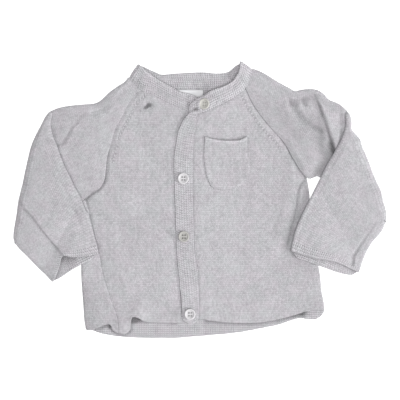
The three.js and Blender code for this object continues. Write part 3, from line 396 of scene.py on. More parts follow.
FOREARM_LEFT_SHADE = [
    {"line": [(352, 264), (353, 256), (358, 249), (363, 241), (369, 232), (374, 224)],
     "width": 1.4, "height": (0.22, 0.08)},
    {"line": [(314, 196), (306, 212), (300, 225), (296, 240)], "width": 3.5, "height": (-0.13, -0.1)},
    {"line": [(334, 215), (331, 250)], "width": 12, "height": (0.04, 0.05)},
    {"line": [(345, 122), (339, 138), (327, 160), (315, 186)], "width": 2.5, "height": (-0.1, -0.12)},
    {"line": [(292, 249), (299, 253)], "width": 3, "height": (-0.14, -0.1)},
]
MOUTH_RIGHT_SHADE = [
    {"line": [(62, 257.5), (72, 260)], "width": 5, "height": (0.34, 0.26)},
]
MOUTH_LEFT_SHADE = []
WRAP_SHADE = [
    {"line": [(87, 298), (91, 312), (92, 326)], "width": 9, "height": (0.1, 0.16)},
]
BAND_RELIEF = [
    {"line": [(200, 99), (198.6, 104), (199.4, 109.5), (203, 111)], "width": 1.8, "height": (0.9, 1.3)},
    {"line": [(193, 112), (199, 112.4)], "width": 1.6, "height": (0.9, 0.9)},
    {"line": [(194.2, 109.2), (195.8, 109.6)], "width": 1.7, "height": (-2.0, -2.0)},
    {"line": [(188.2, 102.3), (188.8, 102.7)], "width": 1.3, "height": (-1.6, -1.6)},
    {"line": [(186, 97), (194, 97.5)], "width": 2.6, "height": (-0.9, -0.9)},
]
BAND_SHADE = [
    {"line": [(193.6, 109), (195.8, 109.8)], "width": 1.5, "height": (0.5, 0.65)},
    {"line": [(188.2, 102.3), (188.8, 102.7)], "width": 1.3, "height": (0.5, 0.5)},
    {"line": [(187, 96.5), (195, 97.5)], "width": 2.5, "height": (0.12, 0.12)},
    {"line": [(203.6, 96.6), (208, 92.6)], "width": 1.1, "height": (0.3, 0.3)},
    {"line": [(178, 100), (186, 108)], "width": 6, "height": (0.05, 0.08)},
    {"line": [(142, 69), (152, 77.5), (161, 83), (171, 88.3), (181, 93.6), (190, 96)],
     "width": 1.6, "height": (-0.14, -0.12)},
    {"line": [(204, 96), (212.5, 91.8), (222, 87.6), (231, 82.6), (237, 75.4)],
     "width": 1.6, "height": (-0.14, -0.14)},
    {"line": [(136, 72), (133, 78)], "width": 3, "height": (-0.15, -0.15)},
    {"line": [(240, 84), (232, 92)], "width": 4, "height": (0.06, 0.06)},
    {"line": [(198.8, 104), (198.9, 109), (197.2, 112.4), (193.5, 113.6)],
     "width": 1.2, "height": (-0.1, -0.12)},
]
BAND_BACK_SHADE = [
    {"line": [(211, 88), (218, 84), (227, 79.5)], "width": 2.5, "height": (-0.28, -0.28)},
]
BACK_SHADE = [
    {"line": [(94, 329), (100, 327.6), (106, 325.8), (110, 326.5)], "width": 2.2, "height": (0.36, 0.52)},
    {"line": [(110, 326), (113, 330.5), (118, 333.6), (125, 334.4), (130, 332)],
     "width": 1.7, "height": (0.48, 0.4)},
    {"line": [(131, 330), (132.5, 324)], "width": 1.4, "height": (0.3, 0.3)},
    {"line": [(285, 318.6), (296, 316), (303, 314)], "width": 1.6, "height": (0.15, 0.4)},
    {"line": [(302, 315), (304, 314.6)], "width": 1.6, "height": (0.3, 0.3)},
]
BACK_RELIEF = [
    {"line": [(306, 317), (322, 313)], "width": 6, "height": (2.0, 1.9)},
    {"line": [(104, 331), (112, 331)], "width": 5, "height": (0.4, 0.4)},
]


def places(rows):
    table = np.array(rows, float)
    return np.column_stack([table[:, 0] - BOARD_ACROSS, BOARD_DOWN - table[:, 1]])


def at(across, down):
    return np.array([across - BOARD_ACROSS, BOARD_DOWN - down])


def smooth(low, high, value):
    t = np.clip((value - low) / (high - low), 0, 1)
    return t * t * (3 - 2 * t)


def unit(vectors):
    """The same directions, each of length one."""
    return vectors / np.maximum(np.linalg.norm(vectors, axis=-1, keepdims=True), 1e-9)


def lengths_along(points):
    """How far along a line each of its points lies."""
    return np.concatenate([[0], np.cumsum(np.linalg.norm(np.diff(points, axis=0), axis=1))])


def even_line(points, parts, trim=(0.0, 0.0)):
    """Even points along a smooth line through the given ones, with its ends cut short."""
    points = np.asarray(points, float)
    knots = lengths_along(points)
    slopes = np.gradient(points, knots, axis=0)
    fine = np.linspace(0, knots[-1], 16 * len(points))
    k = np.clip(np.searchsorted(knots, fine, side="right") - 1, 0, len(points) - 2)
    run = knots[k + 1] - knots[k]
    t = ((fine - knots[k]) / run)[:, None]
    run = run[:, None]
    line = (
        (2 * t**3 - 3 * t**2 + 1) * points[k]
        + (t**3 - 2 * t**2 + t) * run * slopes[k]
        + (3 * t**2 - 2 * t**3) * points[k + 1]
        + (t**3 - t**2) * run * slopes[k + 1]
    )
    length = lengths_along(line)
    goal = np.linspace(trim[0], length[-1] - trim[1], parts + 1)
    return np.column_stack([np.interp(goal, length, line[:, c]) for c in range(line.shape[1])])


def left_of(points):
    """Unit vectors to the left of a line as it is walked."""
    way = unit(np.gradient(points, axis=0))
    return np.column_stack([-way[:, 1], way[:, 0]])


def shifted(points, distance):
    return points + left_of(points) * np.reshape(distance, (-1, 1))


def eased(points, rounds):
    """The same line with small wiggles taken out; its ends stay."""
    points = points.copy()
    for _ in range(rounds):
        points[1:-1] = (points[:-2] + 2 * points[1:-1] + points[2:]) / 4
    return points


def nearest(points, line):
    """Distance to a line, its side (left is positive), the part of its length, and the way past its ends."""
    best = np.full(len(points), np.inf)
    side = np.ones(len(points))
    along = np.zeros(len(points))
    past = np.zeros(len(points))
    lengths = np.linalg.norm(np.diff(line, axis=0), axis=1)
    starts = np.concatenate([[0], np.cumsum(lengths)])
    for n, length in enumerate(lengths):
        run = (line[n + 1] - line[n]) / length
        offset = points - line[n]
        reach = offset @ run
        inside = np.clip(reach, 0, length)
        distance = np.linalg.norm(offset - inside[:, None] * run, axis=1)
        closer = distance < best
        best = np.where(closer, distance, best)
        cross = run[0] * offset[:, 1] - run[1] * offset[:, 0]
        side = np.where(closer, np.where(cross < 0, -1.0, 1.0), side)
        along = np.where(closer, (starts[n] + inside) / starts[-1], along)
        over = np.zeros(len(points))
        if n == 0:
            over = np.maximum(over, -reach)
        if n == len(lengths) - 1:
            over = np.maximum(over, reach - length)
        past = np.where(closer, over, past)
    return best, side, along, past


def relief(rows, points):
    """Height added by folds, dents and steps in the cloth."""
    lift = np.zeros(len(points))
    for row in rows:
        distance, side, along, past = nearest(points, places(row["line"]))
        height = row["height"][0] + (row["height"][1] - row["height"][0]) * along
        if "high" in row:
            across = distance * side * row["high"]
            shape = smooth(-0.25 * row["width"], 0.75 * row["width"], across)
            shape = shape * np.exp(-((np.maximum(across, 0) / row["reach"]) ** 2))
            shape = shape * np.exp(-((past / 4) ** 2))
        else:
            shape = np.exp(-((distance / row["width"]) ** 2))
        lift += height * shape
    return lift


def blended(lower, upper, left, right):
    """A surface blended from its four edges; its rows run from the first edge to the second."""
    u = np.linspace(0, 1, len(lower))[None, :, None]
    v = np.linspace(0, 1, len(left))[:, None, None]
    rows = (1 - v) * lower[None] + v * upper[None]
    columns = (1 - u) * left[:, None] + u * right[:, None]
    corners = (1 - v) * ((1 - u) * lower[0] + u * lower[-1]) + v * ((1 - u) * upper[0] + u * upper[-1])
    return rows + columns - corners


def inset_edges(lower, upper, left, right, gaps):
    """The four edges of a panel moved inwards: lower, upper, left, right."""
    old = [lower, upper, left, right]
    new = [
        shifted(lower, gaps[0]), shifted(upper, -gaps[1]),
        shifted(left, -gaps[2]), shifted(right, gaps[3]),
    ]
    for first, i, second, j in ((0, 0, 2, 0), (0, -1, 3, 0), (1, 0, 2, -1), (1, -1, 3, -1)):
        point = new[first][i] + new[second][j] - old[first][i]
        new[first][i] = point
        new[second][j] = point
    return new


def flat(grid):
    return grid.reshape(-1, grid.shape[-1])


def grid_quads(k):
    """Quads between the points whose numbers stand in a table of rows."""
    return np.stack([k[:-1, :-1], k[:-1, 1:], k[1:, 1:], k[1:, :-1]], axis=-1).reshape(-1, 4)


def quads_of(rows, columns):
    return grid_quads(np.arange(rows * columns).reshape(rows, columns))


def in_scene(name, data):
    piece = bpy.data.objects.new(name, data)
    bpy.context.collection.objects.link(piece)
    return piece


def set_shade(mesh, painted_light_and_shade):
    # The attribute holds shade and light painted into the colour: below one darker, above one lighter.
    shade = mesh.attributes.new("painted_light_and_shade", "FLOAT", "POINT")
    shade.data.foreach_set("value", painted_light_and_shade.astype(np.float32))


def knitted_mesh(name, points, faces, grain, sides, painted_light_and_shade, *stuffs):
    """A mesh in metres with its grain as a UV map in millimetres and its painted shade and light as an
    attribute.
    """
    mesh = bpy.data.meshes.new(name)
    mesh.from_pydata((points * MM).tolist(), [], faces.tolist())
    corners = np.empty(len(mesh.loops), dtype=np.int32)
    mesh.loops.foreach_get("vertex_index", corners)
    layer = mesh.uv_layers.new(name="grain")
    layer.uv.foreach_set("vector", grain[corners].astype(np.float32).ravel())
    set_shade(mesh, painted_light_and_shade)
    for stuff in stuffs:
        mesh.materials.append(stuff)
    mesh.polygons.foreach_set("material_index", sides.astype(np.int32))
    mesh.shade_smooth()
    mesh.update()
    return in_scene(name, mesh)


def cloth(name, points, quads, grain, face_stuff, reverse_stuff, painted_light_and_shade=None, thickness=CLOTH, rim=RIM):
    """A wall of even thickness about a surface of quads, with soft rounded edges."""
    a, b, c, d = (points[quads[:, k]] for k in range(4))
    facing = unit(np.cross(c - a, d - b))
    normals = np.zeros_like(points)
    for k in range(4):
        np.add.at(normals, quads[:, k], facing)
    normals = unit(normals)
    edges = np.concatenate([quads[:, [k, (k + 1) % 4]] for k in range(4)])
    keys = set(map(tuple, edges.tolist()))
    border = np.array([e for e in edges.tolist() if (e[1], e[0]) not in keys])
    way = points[border[:, 1]] - points[border[:, 0]]
    out = unit(np.cross(way, normals[border[:, 0]] + normals[border[:, 1]]))
    outward = np.zeros_like(points)
    np.add.at(outward, border[:, 0], out)
    np.add.at(outward, border[:, 1], out)
    ring = np.unique(border)
    outward = unit(outward[ring])
    count = len(points)
    place_in_ring = np.full(count, -1)
    place_in_ring[ring] = 2 * count + np.arange(len(ring))
    rims = points[ring] + outward * rim
    solid = np.concatenate([points + normals * thickness / 2, points - normals * thickness / 2, rims])
    start, end = border[:, 0], border[:, 1]
    upper_strip = np.stack([end, start, place_in_ring[start], place_in_ring[end]], axis=-1)
    lower_strip = np.stack([place_in_ring[end], place_in_ring[start], start + count, end + count], axis=-1)
    faces = np.concatenate([quads, quads[:, ::-1] + count, upper_strip, lower_strip])
    sides = np.concatenate([np.zeros(len(quads)), np.ones(len(quads)), np.zeros(2 * len(border))])
    painted_light_and_shade = np.ones(count) if painted_light_and_shade is None else painted_light_and_shade
    return knitted_mesh(
        name, solid, faces, np.concatenate([grain, grain, grain[ring]]), sides,
        np.concatenate([painted_light_and_shade, painted_light_and_shade, painted_light_and_shade[ring]]), face_stuff, reverse_stuff,
    )


def declare(piece, *nodes, slot="knit"):
    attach(piece, "root")
    if nodes:
        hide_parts(*nodes)
    return piece


# Materials

def node_tree(name):
    stuff = bpy.data.materials.new(name)
    stuff.use_nodes = True
    tree = stuff.node_tree
    return stuff, tree, tree.nodes["Principled BSDF"]


class Wiring:
    """Short words for the nodes of one material."""

    def __init__(self, tree):
        self.tree = tree

    def node(self, kind, **values):
        made = self.tree.nodes.new(kind)
        for key, value in values.items():
            setattr(made, key, value)
        return made

    def feed(self, socket, value):
        if isinstance(value, bpy.types.NodeSocket):
            self.tree.links.new(value, socket)
        else:
            socket.default_value = value

    def math(self, operation, *values):
        made = self.node("ShaderNodeMath", operation=operation)
        for socket, value in zip(made.inputs, values):
            self.feed(socket, value)
        return made.outputs[0]

    def spread(self, value, low, high):
        made = self.node("ShaderNodeMapRange")
        self.feed(made.inputs["Value"], value)
        self.feed(made.inputs["From Min"], low[0])
        self.feed(made.inputs["From Max"], low[1])
        self.feed(made.inputs["To Min"], high[0])
        self.feed(made.inputs["To Max"], high[1])
        return made.outputs["Result"]

    def mottle(self, vector, scale, detail=2.0):
        made = self.node("ShaderNodeTexNoise")
        self.feed(made.inputs["Vector"], vector)
        self.feed(made.inputs["Scale"], scale)
        self.feed(made.inputs["Detail"], detail)
        return made.outputs["Fac"]

    def between(self, factor, low, high):
        """A colour between two, by a factor."""
        made = self.node("ShaderNodeMix", data_type="RGBA")
        self.feed(made.inputs["Factor"], factor)
        made.inputs["A"].default_value = (*low, 1)
        made.inputs["B"].default_value = (*high, 1)
        return made.outputs["Result"]

    def shaded(self, colour, value):
        """A colour made lighter or darker by a value."""
        made = self.node("ShaderNodeHueSaturation")
        self.feed(made.inputs["Color"], colour)
        self.feed(made.inputs["Value"], value)
        return made.outputs["Color"]

    def bump(self, surface, height, strength, distance):
        made = self.node("ShaderNodeBump")
        self.feed(made.inputs["Strength"], strength)
        self.feed(made.inputs["Distance"], distance)
        self.feed(made.inputs["Height"], height)
        self.feed(surface.inputs["Normal"], made.outputs["Normal"])


def knit(name, colour, wale, course, garter=False, depth=0.35, bumps=(0.32, 0.13)):
    """Heathered knit of two-legged stitches, or of rows of bumps on the reverse and in garter bands."""
    stuff, tree, surface = node_tree(name)
    w = Wiring(tree)
    grain = w.node("ShaderNodeUVMap", uv_map="grain").outputs["UV"]
    parts = w.node("ShaderNodeSeparateXYZ")
    w.feed(parts.inputs[0], grain)
    place = w.node("ShaderNodeTexCoord").outputs["Object"]
    wander = w.math("MULTIPLY", w.math("SUBTRACT", w.mottle(place, 260.0), 0.5), 0.9)
    u = w.math("DIVIDE", w.math("ADD", parts.outputs[0], wander), wale)
    v = w.math("DIVIDE", w.math("ADD", parts.outputs[1], wander), course)
    away = w.math("MULTIPLY", w.math("ABSOLUTE", w.math("SUBTRACT", w.math("FRACT", u), 0.5)), 2.0)
    if garter:
        wave = w.math("MULTIPLY", w.math("SINE", w.math("MULTIPLY", u, 2 * math.pi)), 0.22)
        row = w.math("SINE", w.math("MULTIPLY", w.math("ADD", v, wave), 2 * math.pi))
        bump = w.math("SINE", w.math("MULTIPLY", u, 2 * math.pi))
        height = w.math("ADD", w.math("MULTIPLY", row, bumps[0]), w.math("MULTIPLY", bump, bumps[1]))
        height = w.math("ADD", height, 0.5)
    else:
        leg = w.math("SUBTRACT", v, w.math("MULTIPLY", away, 0.6))
        twist = w.math("SINE", w.math("MULTIPLY", leg, 2 * math.pi))
        rope = w.math("ADD", w.math("MULTIPLY", twist, 0.3), 0.6)
        column = w.math("MULTIPLY", w.math("MULTIPLY", away, w.math("SUBTRACT", 1.0, away)), 4.0)
        height = w.math("MULTIPLY", column, rope)
    fuzz = w.mottle(place, 1500.0, 3.0)
    w.bump(surface, w.math("ADD", height, w.math("MULTIPLY", fuzz, 0.5)), 0.55, depth * MM)

    stitch = w.node("ShaderNodeCombineXYZ")
    w.feed(stitch.inputs[0], w.math("FLOOR", w.math("MULTIPLY", u, 2.0)))
    w.feed(stitch.inputs[1], w.math("FLOOR", v))
    flecks = w.node("ShaderNodeTexWhiteNoise", noise_dimensions="2D")
    w.feed(flecks.inputs["Vector"], stitch.outputs[0])
    light = w.spread(flecks.outputs["Value"], (0.0, 1.0), (-0.1, 0.1))
    # Each stitch is painted darker where it sinks, as painted shade in the hollows between stitches; the
    # flecks, fuzz and clouds are the yarn's own heather.
    light = w.math("ADD", light, w.spread(height, (0.0, 1.0), (-0.5, 0.24) if garter else (-0.34, 0.16)))
    light = w.math("ADD", light, w.spread(fuzz, (0.3, 0.7), (-0.12, 0.12)))
    clouds = ((800.0, (0.25, 0.75), 0.04), (150.0, (0.3, 0.7), 0.035), (38.0, (0.3, 0.7), 0.03))
    for scale, span, part in clouds:
        light = w.math("ADD", light, w.spread(w.mottle(place, scale), span, (-part, part)))
    # The painted shade and light of each piece darken or lighten its colour.
    painted_light_and_shade = w.node("ShaderNodeAttribute", attribute_name="painted_light_and_shade").outputs["Fac"]
    value = w.math("MULTIPLY", w.math("ADD", light, 1.0), painted_light_and_shade)
    red, green, blue = colour
    warm = (red * 1.016, green * 0.992, blue * 1.008)
    cool = (red * 0.984, green * 1.008, blue * 0.998)
    tint = w.between(w.spread(w.mottle(place, 90.0), (0.35, 0.65), (0.0, 1.0)), warm, cool)
    w.feed(surface.inputs["Base Color"], w.shaded(tint, value))
    surface.inputs["Roughness"].default_value = 0.93
    surface.inputs["Specular IOR Level"].default_value = 0.2
    surface.inputs["Sheen Weight"].default_value = 0.18
    surface.inputs["Sheen Roughness"].default_value = 0.6
    return stuff


def button_stuff(name, colour, roughness):
    stuff, tree, surface = node_tree(name)
    w = Wiring(tree)
    place = w.node("ShaderNodeTexCoord").outputs["Object"]
    swirl = w.node("ShaderNodeTexNoise")
    w.feed(swirl.inputs["Vector"], place)
    w.feed(swirl.inputs["Scale"], 320.0)
    w.feed(swirl.inputs["Distortion"], 1.5)
    clouded = w.between(swirl.outputs["Fac"], [c * 0.93 for c in colour], [c * 1.05 for c in colour])
    # Painted shade in the button's dish and wells darkens its colour.
    painted_light_and_shade = w.node("ShaderNodeAttribute", attribute_name="painted_light_and_shade").outputs["Fac"]
    w.feed(surface.inputs["Base Color"], w.shaded(clouded, painted_light_and_shade))
    w.bump(surface, w.mottle(place, 2500.0, 3.0), 0.08, 0.1 * MM)
    surface.inputs["Roughness"].default_value = roughness
    surface.inputs["Specular IOR Level"].default_value = 0.35
    return stuff


def tape_stuff(name):
    """Smooth woven tape, left bare."""
    stuff, tree, surface = node_tree(name)
    w = Wiring(tree)
    place = w.node("ShaderNodeTexCoord").outputs["Object"]
    parts = w.node("ShaderNodeSeparateXYZ")
    w.feed(parts.inputs[0], place)
    warp = w.math("SINE", w.math("MULTIPLY", parts.outputs[0], 2 * math.pi / 0.0007))
    weft = w.math("SINE", w.math("MULTIPLY", parts.outputs[1], 2 * math.pi / 0.0005))
    weave = w.math("ADD", w.math("MULTIPLY", w.math("MULTIPLY", warp, weft), 0.5), 0.5)
    w.feed(surface.inputs["Base Color"], w.between(weave, (0.6, 0.6, 0.625), (0.68, 0.68, 0.69)))
    w.bump(surface, weave, 0.3, 0.1 * MM)
    surface.inputs["Roughness"].default_value = 0.6
    return stuff


def yarn_stuff(name, colour):
    """Plied yarn of the stitches along seams and edges."""
    stuff, tree, surface = node_tree(name)
    w = Wiring(tree)
    place = w.node("ShaderNodeTexCoord").outputs["Object"]
    fleck = w.spread(w.mottle(place, 900.0, 3.0), (0.3, 0.7), (0.0, 1.0))
    flecked = w.between(fleck, [c * 0.9 for c in colour], [c * 1.08 for c in colour])
    w.feed(surface.inputs["Base Color"], flecked)
    w.bump(surface, w.mottle(place, 2600.0), 0.5, 0.2 * MM)
    surface.inputs["Roughness"].default_value = 0.95
    surface.inputs["Sheen Weight"].default_value = 0.18
    return stuff


HEATHER = (0.462, 0.451, 0.473)


def heather(share):
    return tuple(c * share for c in HEATHER)


stockinette = knit("heathered_stockinette", HEATHER, 2.3, 1.8)
purl_side = knit("heathered_reverse", heather(0.96), 2.3, 1.9, garter=True, depth=0.45)
garter = knit("heathered_garter", heather(0.965), 2.1, 2.2, garter=True, depth=0.45, bumps=(0.26, 0.19))
yarn = yarn_stuff("heathered_yarn", HEATHER)
moss = knit("heathered_moss", heather(0.975), 2.3, 2.3, garter=True, depth=0.4, bumps=(0.17, 0.12))
finishes = {
    "pearl": button_stuff("pearl_button", (0.57, 0.56, 0.575), 0.42),
    # A darker copy of the pearl colour, as painted shade on the tilted third button.
    "pearl_in_painted_shade": button_stuff("pearl_button_painted_shade", (0.375, 0.367, 0.352), 0.4),
    "cream": button_stuff("cream_button", (0.5, 0.49, 0.462), 0.45),
}
tape = tape_stuff("woven_tape")


# Heights of the middle of the cloth

def dip(points, line, depth, width):
    """The cloth is drawn down beside a seam."""
    distance, _, along, _ = nearest(points, line)
    return -(depth[0] + (depth[1] - depth[0]) * along) * np.exp(-((distance / width) ** 2))


placket_seam = even_line(places(PLACKET_SEAM), 60)
side_left = even_line(places(SIDE_LEFT), 60)
raglan_right = even_line(places(RAGLAN_RIGHT), 60)
raglan_left = even_line(places(RAGLAN_LEFT), 60)
side_seam_right = even_line(places(SIDE_SEAM_RIGHT), 60)
neck_seam_right = even_line(places(NECK_RIGHT), 40)
neck_seam_left = even_line(places(NECK_LEFT), 40)
marks_right = even_line(shifted(raglan_right, MARKS_INSET)[:-22], 80)
marks_left = even_line(shifted(raglan_left, -MARKS_INSET)[:-22], 80)


def right_front_base(points):
    return FRONT_MID + relief(FRONT_RELIEF, points)


def right_front_height(points):
    lift = right_front_base(points)
    lift += dip(points, raglan_right, (0.6, 0.9), 2.4) + dip(points, marks_right, (0.5, 0.4), 1.4)
    lift += dip(points, side_seam_right, (0.15, 0.7), 1.8)
    lift += dip(points, neck_seam_right, (0.6, 0.6), 1.4)
    return np.maximum(lift, FRONT_MID - 0.8)


def left_front_height(points):
    from_seam = nearest(points, placket_seam)[0]
    from_side = nearest(points, side_left)[0]
    step = PLACKET_STEP * (1 - smooth(2, 44, from_seam))
    edge = (FRONT_MID - SIDE_EDGE_MID) * (1 - np.sqrt(1 - (1 - np.clip(from_side / 9, 0, 1)) ** 2))
    lift = FRONT_MID + relief(FRONT_RELIEF, points) + step - edge
    lift += dip(points, placket_seam, (0.5, 0.5), 1.6)
    lift += dip(points, raglan_left, (0.6, 0.9), 2.4) + dip(points, marks_left, (0.5, 0.4), 1.4)
    lift += dip(points, neck_seam_left, (0.6, 0.6), 1.4)
    return np.maximum(lift, 2.1)


def placket_height(points):
    return right_front_base(points) + PLACKET_STEP


def raised(grid, height):
    points = flat(grid)
    return np.column_stack([points, height(points)])


def panel(name, edges, gaps, height, stuff, reverse=None, grain=None, painted_light_and_shade=None, ridges=None):
    lower, upper, left, right = inset_edges(*edges, gaps)
    grid = blended(lower, upper, left, right)
    rows, columns = grid.shape[:2]
    points = raised(grid, height)
    if ridges:
        across = np.tile(np.linspace(0, 1, columns), rows)
        points[:, 2] += ridges[1] * np.cos(2 * math.pi * ridges[0] * across)
    if grain is None:
        grain = points[:, :2]
    elif grain == "bands":
        width = np.linalg.norm(grid[:, -1] - grid[:, 0], axis=1)
        length = lengths_along(grid.mean(axis=1))
        across = np.outer(width, np.linspace(0, 1, columns))
        grain = np.column_stack([np.repeat(length, columns), across.ravel()])
    shade = None if painted_light_and_shade is None else painted_light_and_shade(points[:, :2])
    return cloth(name, points, quads_of(rows, columns), grain, stuff, reverse or purl_side, shade)


SIDE_ROWS = 84
RAGLAN_ROWS = 84
FRONT_COLUMNS = 88


def front_painted_light_and_shade(points):
    """Painted shade beside the seams, creases and sleeves, painted light beside the placket and on lit
    folds, and painted shade inside the small hole near the wearer's right shoulder.
    """
    shade = 1 - np.clip(relief(FRONT_SHADE, points), -0.3, 0.6)
    # Painted shade along the rows of narrowing stitches.
    for line in (marks_right, marks_left):
        shade -= 0.16 * np.exp(-((nearest(points, line)[0] / 1.3) ** 2))
    # The small hole is painted dark inside, as painted shade.
    for part in HOLE:
        offset = points - at(*part["place"])
        x = offset[:, 0] * math.cos(part["turn"]) + offset[:, 1] * math.sin(part["turn"])
        y = offset[:, 1] * math.cos(part["turn"]) - offset[:, 0] * math.sin(part["turn"])
        away = np.hypot(x / part["size"][0], y / part["size"][1])
        shade = np.where(away < 1.15, np.minimum(shade, 0.36 + 0.64 * smooth(0.45, 1.15, away)), shade)
    return shade


def front_right():
    side = even_line(places(SIDE_SEAM_RIGHT), SIDE_ROWS)
    raglan = even_line(places(RAGLAN_RIGHT[::-1]), RAGLAN_ROWS)
    edges = (
        even_line(places(FRONT_RIGHT_HEM), FRONT_COLUMNS),
        even_line(places(NECK_RIGHT), FRONT_COLUMNS),
        np.vstack([side, raglan[1:]]),
        even_line(places(CENTRE_RIGHT), SIDE_ROWS + RAGLAN_ROWS),
    )
    gaps = (0.4, 0.3, 0.1, 0.1)
    return panel("knit_front_right", edges, gaps, right_front_height, stockinette, painted_light_and_shade=front_painted_light_and_shade)


def front_left():
    raglan = even_line(places(RAGLAN_LEFT[::-1]), RAGLAN_ROWS)
    side = even_line(places(SIDE_LEFT), SIDE_ROWS)
    edges = (
        even_line(places(FRONT_LEFT_HEM), FRONT_COLUMNS + 8),
        even_line(places(NECK_LEFT), FRONT_COLUMNS + 8),
        even_line(places(PLACKET_SEAM), SIDE_ROWS + RAGLAN_ROWS),
        np.vstack([side, raglan[1:]]),
    )
    gaps = (0.4, 0.3, 0.3, 0.3)
    return panel("knit_front_left", edges, gaps, left_front_height, stockinette, painted_light_and_shade=front_painted_light_and_shade)


def back_painted_shade(points):
    """Painted shadow inside, where the front's hem stands up from the back, and painted shade along the
    hems.
    """
    gap = nearest(points, places([(131.5, 319.5), (138, 319.5), (144, 321.8), (176, 323.6)]))
    narrow = smooth(0.1, 0.3, gap[2])
    deepest = 0.34 + 0.3 * narrow
    dark = deepest + (1 - deepest) * smooth(0.6, 1.3, gap[0] / (4.2 - 3.2 * narrow))
    under = nearest(points, places([(207, 320.6), (223, 322), (252, 323), (279, 319), (306, 311.3)]))[0]
    shaded = 1 - np.clip(relief(BACK_SHADE, points), 0, 0.7)
    return dark * (0.62 + 0.38 * smooth(0.5, 4.5, under)) * shaded


def back():
    """The back lies flat; at the wearer's right it folds round the side up to the seam on top."""
    columns = 130
    side_rows, raglan_rows = 84, 64
    reach = 5.0
    wearers_right = even_line(places(RAGLAN_RIGHT[::-1]), raglan_rows)
    wearers_left = even_line(places(RAGLAN_LEFT[::-1]), raglan_rows)
    fold_line = shifted(even_line(places(WRAP_OUTLINE), side_rows), -(reach + CLOTH / 2))
    fold_line[-8:] += np.linspace(0, 1, 8)[:, None] * (wearers_right[0] - fold_line[-1])
    lower = even_line(places([(91.6, 330.2)] + BACK_HEM[1:]), columns)
    fold_line[:6] += np.linspace(1, 0, 6)[:, None] * (lower[0] - fold_line[0])
    edges = (
        lower,
        even_line(places(NECK_BACK), columns),
        np.vstack([fold_line, wearers_right[1:]]),
        np.vstack([even_line(np.vstack([lower[-1], side_left[5:]]), side_rows), wearers_left[1:]]),
    )
    lower, upper, left, right = inset_edges(*edges, (0.4, 0.3, 0.0, 0.3))
    grid = blended(lower, upper, left, right)
    main = raised(grid, lambda points: BACK_MID + relief(BACK_RELIEF, points))
    rows = grid.shape[0]
    quads = quads_of(rows, columns + 1)

    # The part that wraps over the side, from the fold to the side seam
    turn_steps, wrap_columns = 10, 22
    seam = shifted(even_line(places(SIDE_SEAM_RIGHT), side_rows), 0.1)
    hem = even_line(places(WRAP_HEM), wrap_columns + 4)[4:]
    turn_radius = (FRONT_MID - BACK_MID) / 2
    wrap = []
    for j in range(side_rows):
        start = left[j]
        angles = np.linspace(0, math.pi, turn_steps + 1)[1:]
        turn = np.column_stack([
            start[0] - reach * np.sin(angles), np.full(turn_steps, start[1]),
            BACK_MID + turn_radius * (1 - np.cos(angles)),
        ])
        along = np.linspace(0, 1, wrap_columns + 1)[1:, None]
        across = start + (seam[j] - start) * along
        to_hem = smooth(6, 0, float(j)) if j < 6 else 0.0
        if to_hem:
            hem_row = hem[:wrap_columns] + (seam[j] - hem[wrap_columns - 1]) * along
            across = across + (hem_row - across) * to_hem
        over = np.column_stack([across, right_front_height(across)])
        over[:, 2] += (FRONT_MID - over[:, 2]) * (1 - smooth(0, 0.3, along[:, 0]))
        wrap.append(np.vstack([turn, over]))
    wrap = np.array(wrap)
    first = len(main)
    numbers = first + np.arange(wrap.shape[0] * wrap.shape[1]).reshape(wrap.shape[:2])
    joined = np.column_stack([np.arange(side_rows) * (columns + 1), numbers])
    wrap_quads = grid_quads(joined)[:, [1, 0, 3, 2]]
    points = np.vstack([main, flat(wrap)])
    fold_row = main[: side_rows * (columns + 1) : columns + 1][:, None]
    steps = np.linalg.norm(np.diff(np.concatenate([fold_row, wrap], axis=1), axis=1), axis=2)
    grain_wrap = np.stack([wrap[:, :1, 0] - np.cumsum(steps, axis=1), wrap[:, :, 1]], axis=-1)
    grain = np.vstack([main[:, :2], flat(grain_wrap)])
    painted_light_and_shade = np.ones(len(points))
    painted_light_and_shade[:first] = back_painted_shade(main[:, :2])
    # Painted shade on the corner of the wrap.
    painted_light_and_shade[first:] = 1 - np.clip(relief(WRAP_SHADE, flat(wrap)[:, :2]), 0, 0.5)
    # Inside the garment it shows its reverse; the part that wraps over shows the knit side
    return cloth("knit_back", points, np.vstack([quads, wrap_quads]), grain, purl_side, stockinette, painted_light_and_shade)


